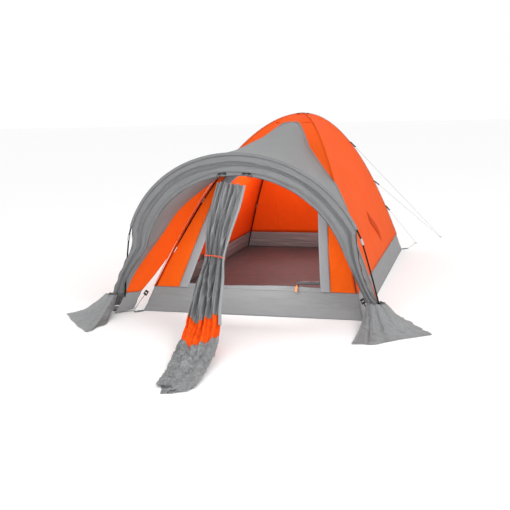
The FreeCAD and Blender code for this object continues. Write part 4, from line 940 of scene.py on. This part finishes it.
def flap_station(place):
    """Centre, half width and half depth of the bunch at a station number, smoothed between stations."""
    past = max(0.0, place - 10)
    place = min(place, 10.0)
    rows = [Vector((a / 1000, FLAP_TOP.y - FLAP_REACH * b, FLAP_TOP.z * c))
            for a, b, c, _, _ in FLAP_STATIONS]
    halves = [Vector((w / 1000, d / 1000)) for _, _, _, w, d in FLAP_STATIONS]
    index = max(0, min(int(place), len(rows) - 2))
    t = place - index
    found = []
    for line in (rows, halves):
        p0, p1 = line[max(0, index - 1)], line[index]
        p2, p3 = line[index + 1], line[min(len(line) - 1, index + 2)]
        found.append(0.5 * (2 * p1 + (p2 - p0) * t + (2 * p0 - 5 * p1 + 4 * p2 - p3) * t ** 2
                            + (3 * p1 - p0 - 3 * p2 + p3) * t ** 3))
    return found[0] + Vector((-0.03, -0.1, -0.002)) * past, found[1][0], found[1][1]


def flap_frame(place):
    """Centre, halves, and the directions down, across and towards the front of the bunch."""
    centre, wide, deep = flap_station(place)
    down = (flap_station(min(10.0, place + 0.05))[0] - flap_station(max(0.0, place - 0.05))[0]).normalized()
    across = (Vector((1, 0, 0)) - down * down.x).normalized()
    return centre, wide, deep, down, across, down.cross(across).normalized()


FOLDS_ACROSS = 4.6


def flap_point(place, t):
    """Point of the bunched cloth: place is the station number, t from -1 to 1 across it."""
    centre, wide, deep, down, across, front = flap_frame(place)
    loose = min(1.0, max(0.0, (place - 5.0) / 2.6))
    drift = 0.5 * math.sin(place * 0.75) + 0.9 * noise.noise(Vector((place * 0.45, t * 1.6, 4.0)))
    wave = math.sin(math.pi * (FOLDS_ACROSS * t + drift)) + 0.40 * math.sin(
        math.pi * (2.3 * FOLDS_ACROSS * t - 1.4 * drift + 0.35 * place))
    wave = math.copysign(abs(wave) ** 0.8, wave) + 0.25 * noise.noise(Vector((t * 13, place * 1.6, 7.0)))
    crumple = noise.noise(Vector((t * 3.2, place * 3.2, 2.0))) + 0.9 * (
        0.45 - abs(noise.noise(Vector((t * 6, place * 6, 5.0))))) + 0.5 * (
        0.4 - abs(noise.noise(Vector((t * 13, place * 13, 8.0)))))
    shell = max(0.0, 1 - t * t) ** 0.5
    depth = deep * (wave * (1 - 0.85 * loose) * (0.25 + 0.75 * shell) + crumple * loose * 1.3)
    depth += deep * 0.4 * shell
    sway = wide * 0.05 * math.sin(place * 1.7 + t * 7)
    point = centre + across * (wide * t + sway * (1 - t * t)) + front * depth
    return Vector((point.x, point.y, max(point.z, 0.0018)))


BAND_TIP = -0.35


def band_edge(start, drop):
    """V-shaped line across the bunch, lowest a little left of its middle."""
    def place(t):
        arm = (1 + BAND_TIP) if t < BAND_TIP else (1 - BAND_TIP)
        return start + drop * (1 - abs(t - BAND_TIP) / arm)
    return place


BAND_TOP = band_edge(5.20, 0.48)
BAND_FOOT = band_edge(6.40, 0.52)


def hem_edge(t):
    """Hem of the bunch, drawn to a point by its peg loop."""
    return mix(9.85, 10.80, (t + 1) / 0.92) if t < -0.08 else mix(10.80, 9.95, (t + 0.08) / 1.08)


def flap_part(first, last):
    """Point function of the bunch between two lines across it."""
    def point(u, v):
        t = 2 * v - 1
        return flap_point(mix(first(t), last(t), u), t)
    return point


# The pleats hold about a third of the cloth that a door closing the porch would need. The sizes below are
# of the cloth that is modelled here, measured round its pleats, and not of that door.
FLAP_BACK = Vector((0, -0.4, -1.2))
panel("door_cloth", flap_part(lambda t: 0.0, BAND_TOP), 150, 220, GREY_GLOSSY_PAINTED_FOLDS,
      "gathered_door", FLAP_BACK, held="gathered", cut=(0.41, 0.79))
panel("door_v_band", flap_part(BAND_TOP, BAND_FOOT), 30, 220, ORANGE, "door_band",
      FLAP_BACK, held="gathered", cut=(0.36, 0.17))
panel("door_skirt_cloth", flap_part(BAND_FOOT, hem_edge), 110, 160, GREY_CRUMPLED,
      "door_skirt", FLAP_BACK, held="laid", cut=(0.32, 0.54))

# %% [markdown]
# ## Elastic tie and door piping
# A flat orange elastic squeezes the bunch at knee height, and a pale zip tape, folded over, runs down
# the bunch's right edge from the slider to the hem.
# %% Tie and piping
def tie(u, v):
    """Elastic band: u across its width, v round the bunch."""
    centre, wide, deep, down, across, front = flap_frame(TIE_STATION)
    turn = 2 * math.pi * v
    grow = 0.0060 + 0.0006 * math.sin(5 * turn)
    tilt = 0.006 * math.cos(turn)
    return (centre + across * ((wide + grow) * math.cos(turn)) + front * ((deep + grow) * math.sin(turn))
            + down * ((u - 0.5) * 0.008 + tilt))


def piping(u, v):
    """Folded zip tape along the right edge of the bunch."""
    place = mix(0.05, 5.9, u)
    t = mix(0.90, 1.08, v)
    centre, wide, deep, down, across, front = flap_frame(place)
    rise = deep * 0.75 + 0.004 * math.sin(math.pi * v)
    return centre + across * (wide * t) + front * (rise * (1.0 - 0.35 * v))


panel("tie_elastic", tie, 3, 96, ELASTIC, "tie_loop", flap_station(TIE_STATION)[0],
      thick=0.0012, held=None)
panel("door_edge_tape", piping, 120, 6, ZIP_TAPE, None, FLAP_BACK,
      held=None)

# %% [markdown]
# ## Inner door, bunched behind the sill
# The inner door lies unzipped in a loose roll at the right end of the threshold. A spiral carried along
# the roll gives cloth on cloth, and noise makes it slump.
# %% Inner door roll
BUNDLE = ((0.60, 0.012, 0.008), (0.73, 0.017, 0.011), (0.87, 0.015, 0.010), (1.00, 0.018, 0.012),
          (1.11, 0.012, 0.009))
BUNDLE_Y = front_wall_y(DOOR_SILL + 0.016) + 0.038


def bundle(u, v):
    """Point of the roll: u round its spiral, v along it."""
    place = v * (len(BUNDLE) - 1)
    index = min(int(place), len(BUNDLE) - 2)
    row = mix(Vector(BUNDLE[index]), Vector(BUNDLE[index + 1]), place - index)
    turn = 2 * math.pi * 2.6 * u
    size = 0.35 + 0.65 * u
    bump = 1 + 0.22 * noise.noise(Vector((v * 9, math.cos(turn) * 1.2, math.sin(turn) * 1.2)))
    y = BUNDLE_Y + row.y * size * bump * math.cos(turn)
    z = DOOR_SILL + 0.002 + row.z + row.z * size * bump * math.sin(turn)
    return Vector((DOOR_BASE * row.x, y, z))


panel("inner_door_roll", bundle, 120, 90, GREY_FLOOR, "door_bundle",
      Vector((0.35, BUNDLE_Y, 0.165)), held="gathered")

# %% [markdown]
# ## Vents and patches
# Low on each side a hooded tunnel vent sags under its own drawcord, a larger hood covers the vent at
# the top of the rear wall, and a patch guards the cloth where the poles cross.
# %% Vents and crossing patch
def side_vent(side):
    """Point function of a side vent's hood."""
    def point(u, v):
        a, b = (2 * u - 1) * 0.045, (2 * v - 1) * 0.130
        height = 0.320 + a * 0.8 - b * 0.62
        share = share_at(height)
        normal = Vector((side * 2 * RIDGE * share, 0, HALF_WIDTH)).normalized()
        swell = max(0.0, 1 - (2 * u - 1) ** 2) ** 0.6 * max(0.0, 1 - (2 * v - 1) ** 2)
        pleat = 0.0025 * math.sin(v * 34 + 2 * math.sin(u * 5)) * swell
        at = Vector((side * HALF_WIDTH * share, 0.205 + a * 0.35 + b * 0.78, height))
        return at + normal * (0.0008 + 0.0105 * swell + pleat)
    return point


def rear_hood(u, v):
    """Point of the hood over the rear vent."""
    share = 0.16 + 0.26 * u
    across = (2 * v - 1) * 0.150 * (0.45 + 0.55 * u)
    normal = Vector((0, 2 * RIDGE * share, REAR_REACH)).normalized()
    at = Vector((across, CROSS_Y + REAR_REACH * share, RIDGE * (1 - share ** 2)))
    swell = u ** 0.8 * (1 - (2 * v - 1) ** 2)
    return at + normal * (0.001 + 0.033 * swell + 0.002 * math.sin(v * 30) * u)


def crossing_patch(u, v):
    """Point of the patch over the crossing of the poles."""
    x, y = (2 * u - 1) * 0.046, (2 * v - 1) * 0.070
    share = math.hypot(x / HALF_WIDTH, y / (FRONT_REACH if y < 0 else REAR_REACH))
    return Vector((x, CROSS_Y + y, RIDGE * (1 - share ** 2) + 0.0045))


for side, side_word in ((-1, "left"), (1, "right")):
    panel(f"vent_hood_{side_word}", side_vent(side), 24, 60, ORANGE_DEEP,
          f"side_vent_{side_word}")
panel("rear_hood_cloth", rear_hood, 24, 40, GREY, "rear_vent_hood")
panel("crossing_patch_cloth", crossing_patch, 12, 16, GREY, "apex_patch")

# %% [markdown]
# ## Webbing: peg loops, guy tabs, corner straps and the door's pull
# Webbing is flat and stiff enough to model directly. A peg loop is a flat strip round its metal eyelet,
# so its cloth is a strip from the eyelet's edge out to the strip's outline. Straps are ribbons along a line.
# %% Webbing
WEB_WIDE = 0.025
WEB_THICK = 0.002
EYELET_REACH = LOOP_LENGTH - 0.006 - 0.004 - 0.003
EYELET_OUT = 0.0102


def loop_mesh(start, direction):
    """Flat webbing loop from a seam outwards, with a round hole for its eyelet."""
    across = Vector((-direction.y, direction.x, 0))
    rows = []
    for ring_share in (0.0, 0.35, 0.7, 1.0):
        row = []
        for step in range(65):
            turn = 2 * math.pi * step / 64
            hole = Vector((math.cos(turn), math.sin(turn))) * EYELET_OUT
            scale = 1 / max(abs(math.cos(turn)) / 0.0128, abs(math.sin(turn)) / (WEB_WIDE / 2))
            edge = Vector((math.cos(turn), math.sin(turn))) * scale
            if edge.x < 0:
                edge.x *= EYELET_REACH / 0.0128
            spot = mix(hole, edge, ring_share)
            wave = 0.0004 * math.sin(spot.x * 240)
            row.append(start + direction * (EYELET_REACH + spot.x) + across * spot.y
                       + Vector((0, 0, 0.0026 + wave)))
        rows.append(row)
    return grid_mesh("loop", rows)


def ribbon_mesh(points, width, facing, steps=16):
    """Flat strap along a smooth line of points, its face turned to a direction."""
    rows = []
    for i in range(steps + 1):
        place = i / steps * (len(points) - 1)
        index = min(int(place), len(points) - 2)
        at = mix(points[index], points[index + 1], place - index)
        way = (points[index + 1] - points[index]).normalized()
        across = way.cross(facing).normalized()
        rows.append([at + across * (width * (j / 6 - 0.5)) for j in range(7)])
    return grid_mesh("ribbon", rows)


def face_up(mesh, direction):
    """Turn a flat mesh's face towards a direction."""
    if sum(p.normal.dot(direction) * p.area for p in mesh.polygons) < 0:
        mesh.flip_normals()


loops = []
hem_end = flap_station(10)[0]
foot = hoop_path(1)
PEG_LOOPS = [(Vector((s * HALF_WIDTH, e * HALF_LENGTH, 0)), Vector((s, e, 0)).normalized())
             for s in (-1, 1) for e in (-1, 1)]
PEG_LOOPS += [(Vector((s * (foot.x + 0.01225), foot.y, 0)), Vector((s, 0, 0))) for s in (-1, 1)]
PEG_LOOPS.append((Vector((hem_end.x, hem_end.y - 0.003, 0)), Vector((0, -1, 0))))
for start, direction in PEG_LOOPS:
    strip = loop_mesh(start, direction)
    face_up(strip, Vector((0, 0, 1)))
    loops.append(strip)
loop_piece = add_object("peg_loop_webbing", join_meshes("peg_loop_webbing", loops), WEBBING)
thicken(loop_piece, WEB_THICK)
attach(loop_piece, "tent")
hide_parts("peg_loops")

tabs = []
locks = []
for side in (-1, 1):
    for word in GUY_HEIGHTS:
        start, direction, first, aim = guy_run(side, word)
        facing = Vector((0, 0, 1)) - direction * direction.z
        start_in = start - direction * 0.010
        strip = ribbon_mesh([start_in, start, start + direction * TAB_LENGTH], 0.015, facing, 12)
        face_up(strip, facing)
        tabs.append(strip)
        locks.append((start + direction * (TAB_LENGTH + SEAM_GAP), direction, facing.normalized()))
tab_piece = add_object("guy_tab_webbing", join_meshes("guy_tab_webbing", tabs), WEBBING)
thicken(tab_piece, WEB_THICK)
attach(tab_piece, "tent")
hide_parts("guy_tabs")

LOCK_OUTLINE = ((0.0, 0.4), (0.12, 0.5), (0.35, 0.5), (0.5, 0.36), (0.65, 0.5), (0.88, 0.5), (1.0, 0.4))


def lock_mesh(place, direction, facing):
    """Line lock: a moulded plate with a waist that the cord is wound round."""
    across = direction.cross(facing)
    whole = bmesh.new()
    spots = [(a, w) for a, w in LOCK_OUTLINE] + [(a, -w) for a, w in reversed(LOCK_OUTLINE)]
    layers = []
    for lift in (-0.0025, 0.0025):
        layers.append([whole.verts.new(place + direction * (LOCK_LENGTH * a) + across * (0.014 * w)
                                       + facing * lift) for a, w in spots])
    whole.faces.new(layers[1])
    whole.faces.new(list(reversed(layers[0])))
    for i in range(len(spots)):
        j = (i + 1) % len(spots)
        whole.faces.new((layers[0][i], layers[0][j], layers[1][j], layers[1][i]))
    bmesh.ops.recalc_face_normals(whole, faces=whole.faces)
    mesh = bpy.data.meshes.new("lock")
    whole.to_mesh(mesh)
    whole.free()
    return mesh


lock_piece = add_object("line_locks", join_meshes("line_locks", [lock_mesh(*spot) for spot in locks]), NYLON_BLACK)
lock_piece.data.polygons.foreach_set("use_smooth", [False] * len(lock_piece.data.polygons))
rounding = lock_piece.modifiers.new("rounded edges", "BEVEL")
rounding.width = 0.0007
rounding.segments = 2
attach(lock_piece, "tent")
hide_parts("guy_locks")

for side, side_word in ((-1, "left"), (1, "right")):
    corner = ridge_point(side, -1, share_at(TUB * 0.8))
    buckle = corner + Vector((side * 0.026, -0.034, -0.004))
    down = Vector((side * 0.50, -0.30, -0.81)).normalized()
    first = buckle + down * 0.0125
    ground = Vector((side * 0.708, -HALF_LENGTH - 0.012, 0.0022))
    end = Vector((side * (foot.x + 0.012), foot.y - 0.050, 0.0022))
    line = [first, mix(first, ground, 0.5) + Vector((0, 0, 0.002)), ground, mix(ground, end, 0.5), end]
    strap = ribbon_mesh(line, 0.008, Vector((side, -0.6, 0.5)), 32)
    face_up(strap, Vector((side, -0.6, 0.5)))
    strap_piece = add_object(f"corner_strap_webbing_{side_word}", strap, WEBBING)
    thicken(strap_piece, 0.0014)
    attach(strap_piece, "tent")
    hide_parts(f"corner_strap_{side_word}")
print("peg loops", len(loops), "guy tabs", len(tabs), "locks", len(locks))

# %% [markdown]
# ## Seams, stitches and zip coils
# Panels meet in folded seams that show as a narrow raised tape with a row of stitches beside it. The tape
# is a ribbon along the seam's line. The stitches and the zips' coils repeat along a line, which is what
# Geometry Nodes are for: the line is resampled at the stitch's pitch, and a short rod is put on each
# point, turned along the line or across it. Real thread is 0.3 mm with a 3 mm pitch; it is drawn coarser,
# so that it still shows.
# %% Seam tape and the node tree for repeats
def outward_at(point, heart=HEART):
    """Rough outward direction of the tent's skin at a place."""
    return Vector((point.x / HALF_WIDTH ** 2, (point.y - CROSS_Y) / 1.3, 0.9 / RIDGE)).normalized()


def tape_mesh(points, normals, width, lift=0.0012):
    """Narrow tape along a line, lying on the cloth."""
    rows = []
    for i, (at, normal) in enumerate(zip(points, normals)):
        way = (points[min(i + 1, len(points) - 1)] - points[max(i - 1, 0)]).normalized()
        across = way.cross(normal).normalized()
        rows.append([at + across * (width * (j / 4 - 0.5)) + normal * (lift + 0.0006 * (1 - (j / 2 - 1) ** 2))
                     for j in range(5)])
    return grid_mesh("tape", rows)


def repeat_tree(across):
    """Node tree that puts a short rod at every pitch of a line, along it or across it."""
    tree = bpy.data.node_groups.new("rods across a line" if across else "rods along a line", "GeometryNodeTree")
    face = tree.interface
    face.new_socket("Geometry", in_out="INPUT", socket_type="NodeSocketGeometry")
    for name in ("Pitch", "Rod length", "Rod radius"):
        face.new_socket(name, in_out="INPUT", socket_type="NodeSocketFloat")
    face.new_socket("Material", in_out="INPUT", socket_type="NodeSocketMaterial")
    face.new_socket("Geometry", in_out="OUTPUT", socket_type="NodeSocketGeometry")
    given = add(tree, "NodeGroupInput")
    line = add(tree, "GeometryNodeMeshToCurve", {}, {"Mesh": given.outputs["Geometry"]})
    even = add(tree, "GeometryNodeResampleCurve", {"mode": "LENGTH"},
               {"Curve": line.outputs[0], "Length": given.outputs["Pitch"]})
    way = add(tree, "GeometryNodeInputTangent")
    up = add(tree, "GeometryNodeInputNamedAttribute", {"data_type": "FLOAT_VECTOR"}, {"Name": "outward"})
    rod_way = way
    if across:
        rod_way = add(tree, "ShaderNodeVectorMath", {"operation": "CROSS_PRODUCT"},
                      {0: way.outputs[0], 1: up.outputs[0]})
    turn = add(tree, "FunctionNodeAxesToRotation", {"primary_axis": "Z", "secondary_axis": "X"},
               {0: rod_way.outputs[0], 1: up.outputs[0]})
    rod = add(tree, "GeometryNodeMeshCylinder", {"fill_type": "TRIANGLE_FAN"},
              {"Vertices": 6, "Radius": given.outputs["Rod radius"], "Depth": given.outputs["Rod length"]})
    many = add(tree, "GeometryNodeInstanceOnPoints", {},
               {"Points": even.outputs[0], "Instance": rod.outputs[0], "Rotation": turn.outputs[0]})
    real = add(tree, "GeometryNodeRealizeInstances", {}, {0: many.outputs[0]})
    painted = add(tree, "GeometryNodeSetMaterial", {},
                  {"Geometry": real.outputs[0], "Material": given.outputs["Material"]})
    add(tree, "NodeGroupOutput", {}, {0: painted.outputs[0]})
    return tree


ALONG = repeat_tree(False)
ACROSS = repeat_tree(True)


def rods_on(name, lines, tree, pitch, length, radius, material):
    """Rods on several lines of (points, outward directions), made a plain mesh."""
    places, ups, edges = [], [], []
    for points, normals in lines:
        first = len(places)
        places += [tuple(point) for point in points]
        ups += [tuple(normal) for normal in normals]
        edges += [(first + i, first + i + 1) for i in range(len(points) - 1)]
    base = bpy.data.meshes.new(name + "_line")
    base.from_pydata(places, edges, [])
    layer = base.attributes.new("outward", "FLOAT_VECTOR", "POINT")
    for i, up in enumerate(ups):
        layer.data[i].vector = up
    obj = bpy.data.objects.new(name, base)
    bpy.context.scene.collection.objects.link(obj)
    maker = obj.modifiers.new("repeat", "NODES")
    maker.node_group = tree
    sockets = {item.name: item.identifier for item in tree.interface.items_tree if item.in_out == "INPUT"}
    for key, value in (("Pitch", pitch), ("Rod length", length), ("Rod radius", radius), ("Material", material)):
        maker[sockets[key]] = value
    bpy.context.view_layer.update()
    solid = bpy.data.meshes.new_from_object(obj.evaluated_get(bpy.context.evaluated_depsgraph_get()))
    obj.modifiers.remove(maker)
    obj.data = solid
    bpy.data.meshes.remove(base)
    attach(obj, "tent")
    print(f"{name}: {len(solid.polygons)} faces")
    return obj

# %% Lines of the seams
def sampled(point, count, lift=0.0016, heart=None):
    """Points of a line and the outward directions there, lifted off the cloth."""
    places = [point(i / count) for i in range(count + 1)]
    normals = [outward_at(at) if heart is None else (heart - at).normalized() for at in places]
    return [at + normal * lift for at, normal in zip(places, normals)], normals


def beside(line, offset):
    """The same line moved sideways on the cloth."""
    points, normals = line
    moved = []
    for i, (at, normal) in enumerate(zip(points, normals)):
        way = (points[min(i + 1, len(points) - 1)] - points[max(i - 1, 0)]).normalized()
        moved.append(at + way.cross(normal).normalized() * offset)
    return moved, normals


RIDGES = [sampled(lambda t, s=s, e=e: ridge_point(s, e, mix(0.02, share_at(TUB), t)), 70)
          for s in (-1, 1) for e in (-1, 1)]
ROOF_SEAMS = [sampled(lambda t, s=s: roof_edge(mix(0.03, 0.90, t), s), 60, 0.0022) for s in (-1, 1)]
TUB_SEAM = sampled(lambda t: tub_wall(1.0, t), 240, 0.0014)
TUB_SEAM = (TUB_SEAM[0], [Vector((n.x, n.y, 0.1)).normalized() for n in TUB_SEAM[1]])
SLEEVE_SEAM = sampled(lambda t: valance(0.10, mix(0.16, 0.84, t)), 160, 0.0014, DOOR_FRONT)
PORCH_ZIP = sampled(lambda t: valance(0.955, mix(0.03, 0.97, t)), 260, 0.0016, DOOR_FRONT)
VALANCE_HEM = sampled(lambda t: valance(0.90, mix(0.03, 0.97, t)), 220, 0.0014, DOOR_FRONT)

tapes = [tape_mesh(*line, 0.011) for line in RIDGES]
for strip in tapes:
    face_outwards(strip, HEART)
ridge_tape = add_object("ridge_seams", join_meshes("ridge_seams", tapes), ORANGE)
thicken(ridge_tape, 0.0008)
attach(ridge_tape, "tent")
tapes = [tape_mesh(*line, 0.010) for line in ROOF_SEAMS]
for strip in tapes:
    face_outwards(strip, HEART)
roof_tape = add_object("roof_seam_tape", join_meshes("roof_seam_tape", tapes), GREY)
thicken(roof_tape, 0.0008)
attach(roof_tape, "tent")

stitched = [beside(line, offset) for line in RIDGES + ROOF_SEAMS for offset in (-0.0035, 0.0035)]
stitched += [TUB_SEAM, beside(TUB_SEAM, 0.006), SLEEVE_SEAM, VALANCE_HEM]
rods_on("seam_stitches", stitched, ALONG, 0.008, 0.005, 0.00045, THREAD)
rods_on("porch_zip_coil", [PORCH_ZIP], ACROSS, 0.0045, 0.007, 0.0013, COIL)

# %% [markdown]
# ## Floor and light
# A pale floor and even studio light: a bright surround for the soft shadows and two large lamps, the
# stronger one from the viewer's right, which is the side that the orange wall faces.
# %% Stage, lamps and world
stage_mesh = bpy.data.meshes.new("studio_floor")
FLOOR_HALF = 40.0
stage_mesh.from_pydata([(-FLOOR_HALF, -FLOOR_HALF, -0.0006), (FLOOR_HALF, -FLOOR_HALF, -0.0006),
                        (FLOOR_HALF, FLOOR_HALF, -0.0006), (-FLOOR_HALF, FLOOR_HALF, -0.0006)],
                       [], [(0, 1, 2, 3)])
paper, paper_tree, paper_shader = new_material("studio paper, white")
paper_shader.inputs["Base Color"].default_value = linear("#fbfbfb")
paper_shader.inputs["Roughness"].default_value = 0.9
stage_mesh.materials.append(paper)
stage = bpy.data.objects.new("studio_floor", stage_mesh)
bpy.context.scene.collection.objects.link(stage)

world = bpy.data.worlds.new("studio")
bpy.context.scene.world = world
world.use_nodes = True
world.node_tree.nodes["Background"].inputs["Color"].default_value = (1, 1, 1, 1)
world.node_tree.nodes["Background"].inputs["Strength"].default_value = 1.0


def lamp(name, place, target, width, watts):
    """Large soft lamp that looks at a point."""
    data = bpy.data.lights.new(name, "AREA")
    data.shape = "DISK"
    data.size = width
    data.energy = watts
    obj = bpy.data.objects.new(name, data)
    bpy.context.scene.collection.objects.link(obj)
    obj.location = place
    obj.rotation_mode = "QUATERNION"
    obj.rotation_quaternion = (Vector(target) - Vector(place)).to_track_quat("-Z", "Y")
    return obj


lamp("key", (3.5, -4.0, 4.0), (0, -0.3, 0.3), 2.5, 90)
lamp("front", (0.6, -6.0, 1.5), (0, 0, 0.4), 3.0, 70)
lamp("porch", (0.0, -1.25, 0.60), (0, 0.6, 0.3), 0.4, 4).visible_camera = False
cabin = bpy.data.lights.new("cabin", "POINT")
cabin.energy = 13
cabin.shadow_soft_size = 0.15
cabin_lamp = bpy.data.objects.new("cabin", cabin)
cabin_lamp.location = (0.0, 0.25, 0.62)
cabin_lamp.visible_camera = False
bpy.context.scene.collection.objects.link(cabin_lamp)
bpy.context.scene.view_settings.view_transform = "Standard"
